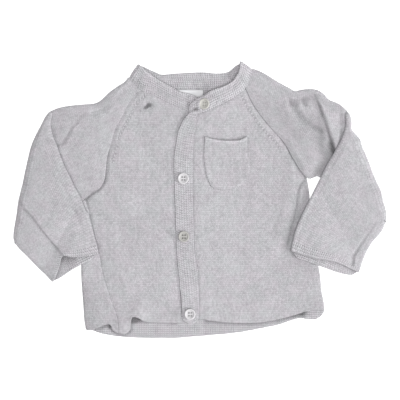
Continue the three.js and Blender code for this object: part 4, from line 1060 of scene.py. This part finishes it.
def sleeve(name, rows, hand, folds, forearm_folds, shades, body_side, mouth):
    """A flat tube from the raglan seam, folded over a slanting line so that the forearm lies on top."""
    neck_steps, raglan_steps = 10, 76
    across = neck_steps + raglan_steps
    edge_steps = 8
    upper_rows, turn_rows, forearm_rows = 74, 14, 122
    raglan_rows = list(rows["raglan"][:-1]) + [rows["armpit"]]
    neck = even_line(places(rows["neck"]), neck_steps)
    start = np.vstack([neck, even_line(places(raglan_rows), raglan_steps)[1:]])
    s = np.linspace(0, 1, upper_rows + 1)
    t = np.linspace(0, 1, forearm_rows + 1)
    shoulder_reach = TUBE_OUTER + (SHOULDER_REACH - TUBE_OUTER) * smooth(0, 0.3, s)
    shoulder_reach += (TOP_CORNER_REACH - SHOULDER_REACH) * smooth(0.82, 1, s)
    under_reach = TUBE_OUTER + (CORNER_REACH - TUBE_OUTER) * smooth(0.7, 1, s)
    inner_reach = FOREARM_REACH + (TOP_CORNER_REACH - FOREARM_REACH) * (1 - smooth(0, 0.2, t))
    inner_reach += (TUBE_OUTER - FOREARM_REACH) * smooth(0.85, 1, t)
    outer_reach = CORNER_REACH + (TUBE_OUTER - CORNER_REACH) * smooth(0.7, 1, t)
    outline = even_line(places(rows["fold"]), across, (TOP_CORNER_REACH * 0.8, CORNER_REACH * 0.7))
    n = np.linspace(0, 1, across + 1)
    fold_reach = TOP_CORNER_REACH + (FOLD_REACH - TOP_CORNER_REACH) * smooth(0, 0.35, n)
    fold_reach += (CORNER_REACH - FOLD_REACH) * smooth(0.82, 1, n)
    fold_line = eased(shifted(outline, hand * fold_reach), 12)
    fold_out = outline - fold_line
    fold_reach = np.linalg.norm(fold_out, axis=1)
    fold_out /= fold_reach[:, None]
    shoulder = even_line(places(rows["shoulder"]), upper_rows, (0, TOP_CORNER_REACH * 0.6))
    shoulder = shifted(shoulder, hand * shoulder_reach)
    shoulder[0] = start[0]
    under_points = np.vstack([start[across], places(rows["underarm"])[1:-1], fold_line[across]])
    underarm = even_line(under_points, upper_rows)
    inner_edge = even_line(places(rows["inner_edge"]), forearm_rows, (TOP_CORNER_REACH * 0.5, 0))
    inner_edge = shifted(inner_edge, -hand * inner_reach)
    outer_edge = even_line(places(rows["outer_edge"]), forearm_rows, (CORNER_REACH * 0.5, 0))
    outer_edge = shifted(outer_edge, hand * outer_reach)
    cuffs = [even_line(places(rows[key]), across) for key in ("cuff_above", "cuff_below")]

    def drawn_to(line, end, target, count):
        """The last points of a line led to the point where it has to end."""
        weight = smooth(0, 1, np.linspace(0, 1, count))[:, None]
        if end:
            line[-count:] += weight * (target - line[-1])
        else:
            line[:count] += weight[::-1] * (target - line[0])

    drawn_to(shoulder, 1, fold_line[0], 14)
    drawn_to(inner_edge, 0, fold_line[0], 12)
    drawn_to(outer_edge, 0, fold_line[across], 12)
    drawn_to(inner_edge, 1, cuffs[0][0], 8)
    drawn_to(outer_edge, 1, cuffs[0][across], 8)
    upper_arm = blended(start, fold_line, shoulder, underarm)
    forearms = [blended(fold_line, cuff, inner_edge, outer_edge) for cuff in cuffs]

    def beyond(grid_row, end):
        return unit(grid_row[0] - grid_row[2] if end == 0 else grid_row[-1] - grid_row[-3])

    def edge_ways(grid, edge, sign, end, seam_row):
        """Outward directions along an edge, led into the ring's own direction at the seam or the cuff."""
        ways = left_of(edge) * sign
        own = np.array([beyond(row, end) for row in grid])
        n = np.linspace(0, 1, len(edge))
        weight = smooth(0.12, 0, np.abs(n - seam_row))[:, None]
        return unit(ways * (1 - weight) + own * weight)

    upper_ways = [edge_ways(upper_arm, shoulder, -hand, 0, 0), edge_ways(upper_arm, underarm, hand, 1, 0)]
    forearm_ways = [
        edge_ways(forearms[0], inner_edge, hand, 0, 1), edge_ways(forearms[0], outer_edge, -hand, 1, 1)
    ]
    underarm_line = places(rows["underarm"])
    inner_line = even_line(places(rows["inner_edge"]), 40)

    def forearm_height(points):
        """It lies on the upper arm and the body, and sinks where it reaches past both."""
        past = []
        for line in (underarm_line, body_side):
            distance, side = nearest(points, line)[:2]
            past.append(hand * distance * side)
        clear = np.maximum(np.minimum(*past) - 1, 0)
        return FOREARM_CENTRE - FOREARM_DROP * smooth(0, DROP_WIDTH, clear)

    def from_edges(grid_row):
        length = lengths_along(grid_row)
        return np.minimum(length, length[-1] - length)

    edge_angles = np.linspace(math.pi / 2, -math.pi / 2, edge_steps + 1)[1:-1]

    def ring_at(station, wall):
        """One ring round the tube; wall is 1 for its outer face and 0 for its inner face."""
        radius = TUBE_OUTER if wall else TUBE_INNER
        thin = 0 if wall else CLOTH
        if station <= upper_rows:
            row, other = upper_arm[station], upper_arm[station]
            ways = [upper_ways[0][station], upper_ways[1][station]]
            reaches = [shoulder_reach[station], under_reach[station]]
        elif station < upper_rows + turn_rows:
            row, other = fold_line, fold_line
            part = (station - upper_rows) / turn_rows
            ways = [upper_ways[e][-1] * (1 - part) + forearm_ways[e][0] * part + beyond(fold_line, e) * 0.6
                    for e in (0, 1)]
            ways = [unit(way) for way in ways]
            reaches = [TOP_CORNER_REACH, CORNER_REACH]
        else:
            v = station - upper_rows - turn_rows
            row, other = forearms[0][v], forearms[1][v]
            ways = [forearm_ways[0][v], forearm_ways[1][v]]
            reaches = [inner_reach[v], outer_reach[v]]
        parts = []
        layout = [
            (np.arange(across + 1), None, radius),
            (None, 1, radius),
            (np.arange(across, -1, -1), None, -radius),
            (None, 0, radius),
        ]
        for index, end, offset in layout:
            if end is None:
                parts.append(layer(station, row, other, index, offset))
            else:
                angles = edge_angles if end == 1 else edge_angles[::-1]
                reach = (reaches[end] - thin) * np.cos(angles)
                offsets = offset * np.sin(angles)
                corner = across if end == 1 else 0
                parts.append(edge(station, row, other, corner, ways[end], reach, offsets))
        return np.vstack(parts)

    def layer(station, row, other, index, offset):
        points = row[index]
        offsets = np.full(len(index), offset)
        if station <= upper_rows:
            z = np.full(len(index), TUBE_CENTRE) + offsets
            if offset > 0:
                inside = smooth(0, 9, from_edges(row))[index]
                distance, side = nearest(points, inner_line)[:2]
                open_side = smooth(-3, 2.5, distance * side * hand)
                far = smooth(0, 24, nearest(points, start)[0])
                lift = (1.5 * far + relief(folds, points)) * open_side
                lift = np.maximum(lift * inside, -UPPER_CREASE_LIMIT)
                lift += dip(points, start, (0.4, 0.7), 2.0)
                z += lift * (1 - smooth(0.75, 1, station / upper_rows))
            return np.column_stack([points, z])
        if station < upper_rows + turn_rows:
            angle = math.pi * (station - upper_rows) / turn_rows
            reach = (fold_reach[index] - (offset + TUBE_OUTER)) * math.sin(angle)
            points = points + fold_out[index] * reach[:, None]
            z = np.full(len(index), FOLD_AXIS - (FOLD_RADIUS - offset) * math.cos(angle))
            if offset < 0:
                inside = smooth(0, 6, from_edges(row))[index]
                lift = np.maximum(relief(forearm_folds, points) * inside, -FOREARM_CREASE_LIMIT)
                z += lift * smooth(math.pi / 2, math.pi, angle)
            return np.column_stack([points, z])
        v = (station - upper_rows - turn_rows) / forearm_rows
        points = points if offset < 0 else other[index]
        z = forearm_height(points) - offset
        if offset < 0:
            inside = smooth(0, 6, from_edges(row))[index]
            from_fold = smooth(0, FOLD_SLOPE, nearest(points, fold_line)[0])
            lift = (FOREARM_CROWN * from_fold + relief(forearm_folds, points)) * inside
            z = z + np.maximum(lift, -FOREARM_CREASE_LIMIT)
            open_part = np.sin(math.pi * np.clip(index / (MOUTH_PART * across), 0, 1)) ** 2
            z = z + mouth * smooth(0.6, 1, v) * open_part
        return np.column_stack([points, z])

    def edge(station, row, other, i, way, reach, offsets):
        above = (1 - offsets / max(np.abs(offsets).max(), 1e-6)) / 2
        if station <= upper_rows:
            points = row[i] + np.outer(reach, way)
            return np.column_stack([points, TUBE_CENTRE + offsets])
        if station < upper_rows + turn_rows:
            angle = math.pi * (station - upper_rows) / turn_rows
            outward = (fold_reach[i] - (offsets + TUBE_OUTER)) * math.sin(angle)
            rounded = math.sqrt(1 - CORNER_ROUNDNESS * math.sin(angle) ** 2)
            points = row[i] + np.outer(reach * rounded, way) + np.outer(outward, fold_out[i])
            return np.column_stack([points, FOLD_AXIS - (FOLD_RADIUS - offsets) * math.cos(angle)])
        upper_point = row[i] * above[:, None] + other[i] * (1 - above[:, None])
        points = upper_point + np.outer(reach, way)
        return np.column_stack([points, forearm_height(points) - offsets])

    stations = upper_rows + turn_rows + forearm_rows + 1
    outer = np.array([ring_at(n, 1) for n in range(stations)])
    inner = np.array([ring_at(n, 0) for n in range(stations)])
    around = outer.shape[1]

    # Grain: across each ring from its middle, and along the sleeve's length
    middle_line = np.array([ring_row.mean(axis=0) for ring_row in outer])
    length = lengths_along(middle_line)
    steps = np.linalg.norm(np.diff(outer, axis=1, append=outer[:, :1]), axis=2)
    round_way = np.concatenate([np.zeros((stations, 1)), np.cumsum(steps, axis=1)[:, :-1]], axis=1)
    round_way -= round_way[:, across // 2][:, None]
    grain = np.stack([round_way, np.repeat(length[:, None], around, axis=1)], axis=-1)
    points = np.vstack([flat(outer), flat(inner)])
    offset = stations * around
    k = np.arange(offset).reshape(stations, around)
    wrapped = np.column_stack([k, k[:, 0]])
    quads = grid_quads(wrapped)
    faces = [quads, quads[:, ::-1] + offset]
    start_ring, end_ring = wrapped[0], wrapped[-1]
    faces.append(grid_quads(np.stack([start_ring, start_ring + offset]))[:, [1, 0, 3, 2]])
    # The cuff's edge is rounded
    lip = (outer[-1] + inner[-1]) / 2
    lip[:, :2] += unit((outer[-1] - outer[-3])[:, :2]) * CUFF_LIP
    first = len(points)
    points = np.vstack([points, lip])
    lip_ring = np.append(first + np.arange(around), first)
    faces.append(grid_quads(np.stack([end_ring, lip_ring, end_ring + offset])))
    faces = np.vstack(faces)
    sides = np.zeros(len(faces))
    sides[len(quads) : 2 * len(quads)] = 1
    sides[len(quads) - CUFF_ROWS * around : len(quads)] = 2
    if hand > 0:
        faces = faces[:, ::-1]
    grain = np.vstack([flat(grain), flat(grain), grain[-1]])
    # Painted shade and light along the creases and folds of the upper arm and the forearm.
    shade = np.ones(len(points))
    on_arm = np.arange(stations)[:, None] < upper_rows + turn_rows / 2
    over = np.broadcast_to(np.arange(around)[None] <= across, (stations, around))
    for rows_of_shade, part in ((shades[0], on_arm & over), (shades[1], ~on_arm & ~over)):
        chosen = np.flatnonzero(part.ravel())
        shade[chosen] = 1 - np.clip(relief(rows_of_shade, points[chosen, :2]), -0.5, 0.7)
    # Painted shadow on the inside of the tube near the cuff's lip, where the upper layer overhangs it.
    inside = points[offset : 2 * offset]
    from_lip = nearest(inside[:, :2], cuffs[0])[0]
    shade[offset : 2 * offset] = 0.82 + 0.18 * smooth(0.5, 5, from_lip) - relief(shades[2], inside[:, :2])
    return knitted_mesh(name, points, faces, grain, sides, shade, stockinette, purl_side, garter)


def neckband():
    """One strip from the front end under the top button, round the neck, to the other end."""
    rows = []

    def add(table, sewn_height):
        for a, b, c, d, height in table:
            sewn, free = at(a, b), at(c, d)
            rows.append([*sewn, float(sewn_height(sewn[None])[0]), *free, height])

    def turn(peak, low, high, upward):
        for k in range(1, 6):
            part = math.pi * k / 6
            angle = part - math.pi / 2 if upward else math.pi / 2 - part
            row = []
            for edge, bottom, top in (("sewn", BACK_MID, FRONT_MID), ("free", low, high)):
                radius = (top - bottom) / 2
                place = at(*peak[edge]) + np.array(peak[edge + "_way"]) * radius * math.cos(angle)
                row += [*place, (bottom + top) / 2 + radius * math.sin(angle)]
            rows.append(row)

    add(BAND_FRONT_RIGHT, right_front_base)
    turn(BAND_PEAKS[0], BAND_BACK[0][4], BAND_FRONT_RIGHT[-1][4], False)
    add(BAND_BACK, lambda p: np.array([BACK_MID]))
    turn(BAND_PEAKS[1], BAND_BACK[-1][4], BAND_FRONT_LEFT[0][4], True)
    seam_top = placket_seam[-1][0]
    add(BAND_FRONT_LEFT, lambda p: placket_height(p) if p[0, 0] < seam_top else left_front_height(p) + 0.5)
    strip = even_line(np.array(rows), 240)
    columns = 36
    w = np.linspace(0, 1, columns + 1)[None, :, None]
    grid = strip[:, None, :3] * (1 - w) + strip[:, None, 3:] * w
    along = np.gradient(grid, axis=0)
    over = np.gradient(grid, axis=1)
    normal = unit(np.cross(along, over))
    if normal[10, 10, 2] < 0:
        normal = -normal
    crown = 0.6 * np.sin(math.pi * w[0, :, 0]) + 0.14 * np.cos(2 * math.pi * 6 * w[0, :, 0])
    crown += 0.45 * np.exp(-(((w[0, :, 0] - 0.93) / 0.06) ** 2))
    grid = grid + normal * crown[None, :, None]
    grid[..., 2] = np.maximum(grid[..., 2], BACK_MID)
    on_top = grid[:, :, 2] > 5
    places_in_plan = flat(grid)[:, :2]
    puckers = relief(BAND_RELIEF, places_in_plan).reshape(grid.shape[:2])
    grid[..., 2] += np.where(on_top, puckers, 0)
    # Painted shade in the buttonhole and in the gaps at the band's ends, and painted light along its free
    # edges and on the back band beside the front band.
    shade = 1 - np.clip(relief(BAND_SHADE, places_in_plan), -0.15, 0.8)
    under = 1 - np.clip(relief(BAND_BACK_SHADE, places_in_plan), -0.35, 0.5)
    shade = np.where(on_top.ravel(), shade, under)
    length = lengths_along(grid.mean(axis=1))
    width = np.linalg.norm(strip[:, 3:] - strip[:, :3], axis=1)
    grain = np.column_stack([np.repeat(length, columns + 1), np.outer(width, w[0, :, 0]).ravel()])
    quads = quads_of(grid.shape[0], columns + 1)
    return cloth("knit_neckband", flat(grid), quads, grain, garter, garter, shade)


def placket():
    edges = (
        even_line(places(PLACKET_FOOT), 40), even_line(places(PLACKET_TOP), 40),
        even_line(places(PLACKET_EDGE), 140), even_line(places(PLACKET_SEAM), 140),
    )
    return panel(
        "knit_placket", edges, (0.4, 0.3, 0.4, 0.2), placket_height, moss, moss, "bands", ridges=(8, 0.03)
    )


def button_band():
    centre = even_line(places(CENTRE_RIGHT), 140)
    inner = shifted(even_line(places(PLACKET_SEAM), 140), 0.6)
    lower = even_line(np.vstack([places([(186, 323.6), (192, 323.4)]), inner[0]]), 20)
    upper = even_line(np.vstack([places([(188.5, 111), (192, 112.1)]), inner[-1]]), 20)
    return panel(
        "knit_button_band", (lower, upper, centre, inner), (0.4, 0.3, 0.1, 0.0), right_front_base,
        garter, garter, "bands",
    )


def pocket():
    edges = (
        even_line(places(POCKET["foot"]), 54), even_line(places(POCKET["mouth"]), 54),
        even_line(places(POCKET["left"]), 54), even_line(places(POCKET["right"]), 54),
    )
    outline = np.vstack([edges[2][::-1], edges[0][1:], edges[3][1:]])
    mouth = edges[1]

    def height(points):
        rolled = 0.9 * np.exp(-(((nearest(points, mouth)[0] - 1.3) / 1.3) ** 2))
        edge = nearest(points, outline)[0]
        sewn_down = 0.7 * np.exp(-((edge / 1.6) ** 2))
        return left_front_height(points) + POCKET_STEP - sewn_down + rolled + 0.3 * smooth(0, 12, edge)

    # Painted highlight along the rolled mouth and beside the left edge, and painted shade beside the right
    # edge.
    def painted_light_and_shade(points):
        shade = 1 + 0.16 * np.exp(-(((nearest(points, mouth)[0] - 1.3) / 1.2) ** 2))
        shade += 0.18 * np.exp(-(((nearest(points, edges[2])[0] - 1.6) / 1.2) ** 2))
        right = nearest(points, edges[3])[0]
        return shade - 0.12 * np.exp(-(((right - 1.8) / 1.2) ** 2))

    return panel("knit_pocket", edges, (0.3, 0.3, 0.3, 0.3), height, stockinette, painted_light_and_shade=painted_light_and_shade)


def label():
    steps = (26, 12)
    x = np.linspace(LABEL["left"], LABEL["right"], steps[0] + 1)
    y = np.linspace(LABEL["bottom"], LABEL["top"], steps[1] + 1)
    across, down = np.meshgrid(x, y)
    points = np.column_stack([across.ravel() - BOARD_ACROSS, BOARD_DOWN - down.ravel()])
    middle = CLOTH + 0.75
    z = middle + 0.25 * np.sin(points[:, 0] / 4.0) + 0.2 * np.sin(points[:, 1] / 3.0 + 1)
    solid = np.column_stack([points, z])
    quads = quads_of(steps[1] + 1, steps[0] + 1)
    return cloth("woven_label", solid, quads, points, tape, tape, thickness=0.6, rim=0.15)


# Buttons

BUTTON_PROFILE = [
    (0.0, 0.0), (2.6, 0.0), (4.4, 0.35), (5.3, 0.9), (5.6, 1.45), (5.5, 2.0), (5.1, 2.35), (4.6, 2.4),
    (4.15, 2.2), (3.7, 1.75), (3.2, 1.5), (2.4, 1.42), (0.0, 1.4),
]


def button(spec):
    """A four-hole button with a raised rim: the dished middle has four wells where the thread goes down."""
    sides = 48
    around = np.linspace(0, 2 * math.pi, sides + 1)[:-1]
    fine = even_line(BUTTON_PROFILE, 44)
    rings = []
    for radius, height in fine[1:-1]:
        x, y = radius * np.cos(around), radius * np.sin(around)
        rings.append(np.column_stack([x, y, np.full(sides, height)]))
    points = np.vstack([[[0, 0, fine[0][1]]], *rings, [[0, 0, fine[-1][1]]]])
    # The dish and the thread wells are painted darker than the rim: painted shade in the button's hollows.
    top = points[:, 2] > 1.2
    from_middle = smooth(3.0, 4.2, np.hypot(points[:, 0], points[:, 1]))
    painted_light_and_shade = np.where(top, spec["dish"] + (1 - spec["dish"]) * from_middle, 1)
    for sx in (-1.2, 1.2):
        for sy in (-1.45, 1.45):
            away = np.hypot((points[:, 0] - sx) / 1.25, points[:, 1] - sy)
            points[:, 2] -= np.where(top, 0.9 * (1 - smooth(0.45, 0.85, away)), 0)
            well = spec["wells"] + (1 - spec["wells"]) * smooth(0.4, 0.95, away)
            painted_light_and_shade = np.where(top, painted_light_and_shade * well, painted_light_and_shade)
    faces = []
    for r in range(len(rings) - 1):
        for k in range(sides):
            a, b = 1 + r * sides + k, 1 + r * sides + (k + 1) % sides
            faces.append((a, b, b + sides, a + sides))
    last = len(points) - 1
    for k in range(sides):
        faces.append((0, 1 + (k + 1) % sides, 1 + k))
        faces.append((last, last - sides + k, last - sides + (k + 1) % sides))
    low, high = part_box(spec["name"])
    middle = (np.array(low) + np.array(high)) / 2 / MM
    tilt = spec["tilt"]
    turned = points.copy()
    turned[:, 0] = points[:, 0] * math.cos(tilt) + points[:, 2] * math.sin(tilt)
    turned[:, 2] = -points[:, 0] * math.sin(tilt) + points[:, 2] * math.cos(tilt)
    turned -= (turned.min(axis=0) + turned.max(axis=0)) / 2
    turned += middle
    mesh = bpy.data.meshes.new(spec["name"] + "_face")
    mesh.from_pydata((turned * MM).tolist(), [], faces)
    set_shade(mesh, painted_light_and_shade)
    mesh.materials.append(finishes[spec["finish"]])
    mesh.shade_smooth()
    mesh.update()
    return declare(in_scene(mesh.name, mesh), spec["name"], slot="button")


# Stitches that follow a line, made with Geometry Nodes

def stitch_tree():
    """Small plump stitches set along a line, each turned by the same slant."""
    tree = bpy.data.node_groups.new("stitches_along_a_line", "GeometryNodeTree")
    face = tree.interface
    face.new_socket("Line", in_out="INPUT", socket_type="NodeSocketGeometry")
    for name, value in (("Spacing", 0.002), ("Stitch length", 0.0016), ("Stitch width", 0.0008),
                        ("Stitch height", 0.0006), ("Slant", 0.4), ("Unevenness", 0.12)):
        face.new_socket(name, in_out="INPUT", socket_type="NodeSocketFloat").default_value = value
    face.new_socket("Seed", in_out="INPUT", socket_type="NodeSocketInt").default_value = 3
    face.new_socket("Yarn", in_out="INPUT", socket_type="NodeSocketMaterial")
    face.new_socket("Stitches", in_out="OUTPUT", socket_type="NodeSocketGeometry")
    nodes, links = tree.nodes, tree.links
    given = nodes.new("NodeGroupInput")
    to_curve = nodes.new("GeometryNodeMeshToCurve")
    resample = nodes.new("GeometryNodeResampleCurve")
    resample.mode = "LENGTH"
    ball = nodes.new("GeometryNodeMeshIcoSphere")
    ball.inputs["Radius"].default_value = 0.5
    ball.inputs["Subdivisions"].default_value = 2
    tangent = nodes.new("GeometryNodeInputTangent")
    up = nodes.new("GeometryNodeInputNamedAttribute")
    up.data_type = "FLOAT_VECTOR"
    up.inputs["Name"].default_value = "up"
    along = nodes.new("FunctionNodeAlignEulerToVector")
    along.axis = "X"
    upright = nodes.new("FunctionNodeAlignEulerToVector")
    upright.axis, upright.pivot_axis = "Z", "X"
    slanted = nodes.new("FunctionNodeRotateEuler")
    slanted.space = "LOCAL"
    slant = nodes.new("ShaderNodeCombineXYZ")
    size = nodes.new("ShaderNodeCombineXYZ")
    uneven = nodes.new("FunctionNodeRandomValue")
    uneven.data_type = "FLOAT"
    low = nodes.new("ShaderNodeMath")
    low.operation = "SUBTRACT"
    high = nodes.new("ShaderNodeMath")
    high.operation = "ADD"
    scale = nodes.new("ShaderNodeVectorMath")
    scale.operation = "SCALE"
    place = nodes.new("GeometryNodeInstanceOnPoints")
    real = nodes.new("GeometryNodeRealizeInstances")
    smooth_faces = nodes.new("GeometryNodeSetShadeSmooth")
    stuff = nodes.new("GeometryNodeSetMaterial")
    out = nodes.new("NodeGroupOutput")
    low.inputs[0].default_value = high.inputs[0].default_value = 1.0
    for a, b in (
        (given.outputs["Line"], to_curve.inputs["Mesh"]),
        (to_curve.outputs[0], resample.inputs["Curve"]),
        (given.outputs["Spacing"], resample.inputs["Length"]),
        (resample.outputs[0], place.inputs["Points"]),
        (ball.outputs["Mesh"], place.inputs["Instance"]),
        (tangent.outputs[0], along.inputs["Vector"]),
        (along.outputs[0], upright.inputs["Rotation"]),
        (up.outputs["Attribute"], upright.inputs["Vector"]),
        (upright.outputs[0], slanted.inputs["Rotation"]),
        (given.outputs["Slant"], slant.inputs["Z"]),
        (slant.outputs[0], slanted.inputs["Rotate By"]),
        (slanted.outputs[0], place.inputs["Rotation"]),
        (given.outputs["Stitch length"], size.inputs["X"]),
        (given.outputs["Stitch width"], size.inputs["Y"]),
        (given.outputs["Stitch height"], size.inputs["Z"]),
        (given.outputs["Unevenness"], low.inputs[1]),
        (given.outputs["Unevenness"], high.inputs[1]),
        (low.outputs[0], uneven.inputs[2]),
        (high.outputs[0], uneven.inputs[3]),
        (given.outputs["Seed"], uneven.inputs["Seed"]),
        (size.outputs[0], scale.inputs[0]),
        (uneven.outputs[1], scale.inputs["Scale"]),
        (scale.outputs[0], place.inputs["Scale"]),
        (place.outputs[0], smooth_faces.inputs["Geometry"]),
        (smooth_faces.outputs[0], real.inputs["Geometry"]),
        (real.outputs[0], stuff.inputs["Geometry"]),
        (given.outputs["Yarn"], stuff.inputs["Material"]),
        (stuff.outputs[0], out.inputs["Stitches"]),
    ):
        links.new(a, b)
    return tree


stitches = stitch_tree()


def stitched(name, lines, spacing=2.0, length=1.6, width=0.85, height=0.6, slant=0.4, uneven=0.12, seed=3):
    """Stitches along lines of points in millimetres, each with the direction that is up from the cloth."""
    points, edges, ups, count = [], [], [], 0
    for line, up in lines:
        points.append(line)
        ups.append(np.broadcast_to(up, line.shape))
        edges += [(count + k, count + k + 1) for k in range(len(line) - 1)]
        count += len(line)
    mesh = bpy.data.meshes.new(name)
    mesh.from_pydata((np.vstack(points) * MM).tolist(), edges, [])
    layer = mesh.attributes.new("up", "FLOAT_VECTOR", "POINT")
    layer.data.foreach_set("vector", np.vstack(ups).astype(np.float32).ravel())
    draft = in_scene(name + "_line", mesh)
    modifier = draft.modifiers.new("stitches", "NODES")
    modifier.node_group = stitches
    wanted = {
        "Spacing": spacing * MM, "Stitch length": length * MM, "Stitch width": width * MM,
        "Stitch height": height * MM, "Slant": slant, "Unevenness": uneven, "Seed": seed, "Yarn": yarn,
    }
    for item in stitches.interface.items_tree:
        if item.item_type == "SOCKET" and item.in_out == "INPUT" and item.name in wanted:
            modifier[item.identifier] = wanted[item.name]
    made = bpy.data.meshes.new_from_object(draft.evaluated_get(bpy.context.evaluated_depsgraph_get()))
    made.name = name
    bpy.data.objects.remove(draft)
    return declare(in_scene(name, made))


UP = np.array([0.0, 0.0, 1.0])


def on_cloth(line, height, lift=0.0):
    return np.column_stack([line, height(line) + CLOTH / 2 + lift])


pieces = {
    "back": declare(back(), "back"),
    "front_right": declare(front_right(), "front_right"),
    "front_left": declare(front_left(), "front_left"),
    "sleeve_right": declare(
        sleeve("knit_sleeve_right", SLEEVE_RIGHT, 1, SLEEVE_RIGHT_RELIEF, FOREARM_RIGHT_RELIEF,
               (SLEEVE_RIGHT_SHADE, FOREARM_RIGHT_SHADE, MOUTH_RIGHT_SHADE), places(WRAP_OUTLINE), 0.5),
        "sleeve_right",
    ),
    "sleeve_left": declare(
        sleeve("knit_sleeve_left", SLEEVE_LEFT, -1, SLEEVE_LEFT_RELIEF, FOREARM_LEFT_RELIEF,
               (SLEEVE_LEFT_SHADE, FOREARM_LEFT_SHADE, MOUTH_LEFT_SHADE), places(SIDE_LEFT), 0.9),
        "sleeve_left",
    ),
    "neckband": declare(neckband(), "neckband"),
    "placket": declare(placket(), "placket"),
    "button_band": declare(button_band(), "button_band"),
    "pocket": declare(pocket(), "pocket"),
    "label": declare(label(), "label", slot="label"),
}
for spec in BUTTONS:
    pieces[spec["name"]] = button(spec)

# Rows of narrowing stitches inside the raglan seams
marks = [
    (on_cloth(marks_right, right_front_height, 0.15), UP),
    (on_cloth(marks_left, left_front_height, 0.15), UP),
]
narrowing = stitched("narrowing_stitches", marks, spacing=3.6, length=2.6, width=1.5, height=1.3, slant=0.9)

# Stitches that hold the pocket
pocket_seam = POCKET["left"][::-1][1:] + POCKET["foot"][1:-1] + POCKET["right"][:-1]
pocket_line = even_line(places(pocket_seam), 120)
pocket_row = stitched(
    "pocket_stitches", [(on_cloth(shifted(pocket_line, -0.2), left_front_height, 0.15), UP)],
    spacing=2.2, length=1.5, width=0.8, height=0.8, slant=0.3,
)

SHEETS = {
    "back": dict(flat=(0.285, 0.25), area=0.053, held="laid", rests_on=[]),
    "front_right": dict(flat=(0.105, 0.235), area=0.0172, held="laid", rests_on=["back"]),
    "front_left": dict(flat=(0.13, 0.235), area=0.0235, held="laid", rests_on=["back"]),
    "sleeve_right": dict(flat=(0.2, 0.245), area=0.034, held="folded", rests_on=["back"]),
    "sleeve_left": dict(flat=(0.2, 0.245), area=0.034, held="folded", rests_on=["front_left"]),
    "neckband": dict(flat=(0.28, 0.018), held="folded", rests_on=["back"]),
    "placket": dict(flat=(0.021, 0.212), area=0.004, held="laid", rests_on=["button_band"]),
    "button_band": dict(flat=(0.017, 0.212), area=0.0034, held="laid", rests_on=["back"]),
    "pocket": dict(flat=(0.045, 0.052), area=0.00215, held="laid", rests_on=["front_left"]),
    "label": dict(flat=(0.0265, 0.0115), held="laid", rests_on=["back"]),
}
with_pieces = {"front_right": [narrowing], "pocket": [pocket_row]}
for key, facts in SHEETS.items():
    facts["rests_on"] = [pieces[name] for name in facts["rests_on"]]
    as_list(with_pieces.get(key, []))

# Floor, light and camera

FLOOR_LEVEL = -0.0004


def floor_stuff():
    stuff, tree, surface = node_tree("pale_floor")
    surface.inputs["Base Color"].default_value = (0.93, 0.93, 0.93, 1)
    surface.inputs["Roughness"].default_value = 0.9
    surface.inputs["Emission Color"].default_value = (1, 1, 1, 1)
    surface.inputs["Emission Strength"].default_value = 0.5
    return stuff


floor_mesh = bpy.data.meshes.new("floor")
floor_corners = [(x, y, FLOOR_LEVEL) for x, y in ((-3, -3), (3, -3), (3, 3), (-3, 3))]
floor_mesh.from_pydata(floor_corners, [], [(0, 1, 2, 3)])
floor_mesh.materials.append(floor_stuff())
floor = in_scene("floor", floor_mesh)


def soft_light(name, place, target, size, power):
    lamp = bpy.data.lights.new(name, "AREA")
    lamp.shape = "RECTANGLE"
    lamp.size, lamp.size_y = size
    lamp.energy = power
    holder = in_scene(name, lamp)
    holder.location = place
    way = np.array(target) - np.array(place)
    flat_way = math.hypot(way[0], way[1])
    holder.rotation_euler = (math.atan2(flat_way, -way[2]), 0, math.atan2(-way[0], way[1]))


soft_light("overhead_softbox", (0.1, -0.2, 2.6), (0, 0, 0), (2.2, 2.2), 67)
soft_light("side_softbox", (2.8, -0.9, 1.4), (0, 0, 0), (1.1, 1.1), 84)

world = bpy.data.worlds.new("studio")
bpy.context.scene.world = world
world.use_nodes = True
world.node_tree.nodes["Background"].inputs["Color"].default_value = (1, 1, 1, 1)
world.node_tree.nodes["Background"].inputs["Strength"].default_value = 0.25

scene = bpy.context.scene
scene.view_settings.view_transform = "Standard"
scene.view_settings.look = "None"

camera = in_scene("camera", bpy.data.cameras.new("camera"))
camera.data.lens = 135
camera.data.sensor_width = 36
camera.data.clip_end = 20
camera.location = (0.0005, 0, 1.503)
scene.camera = camera
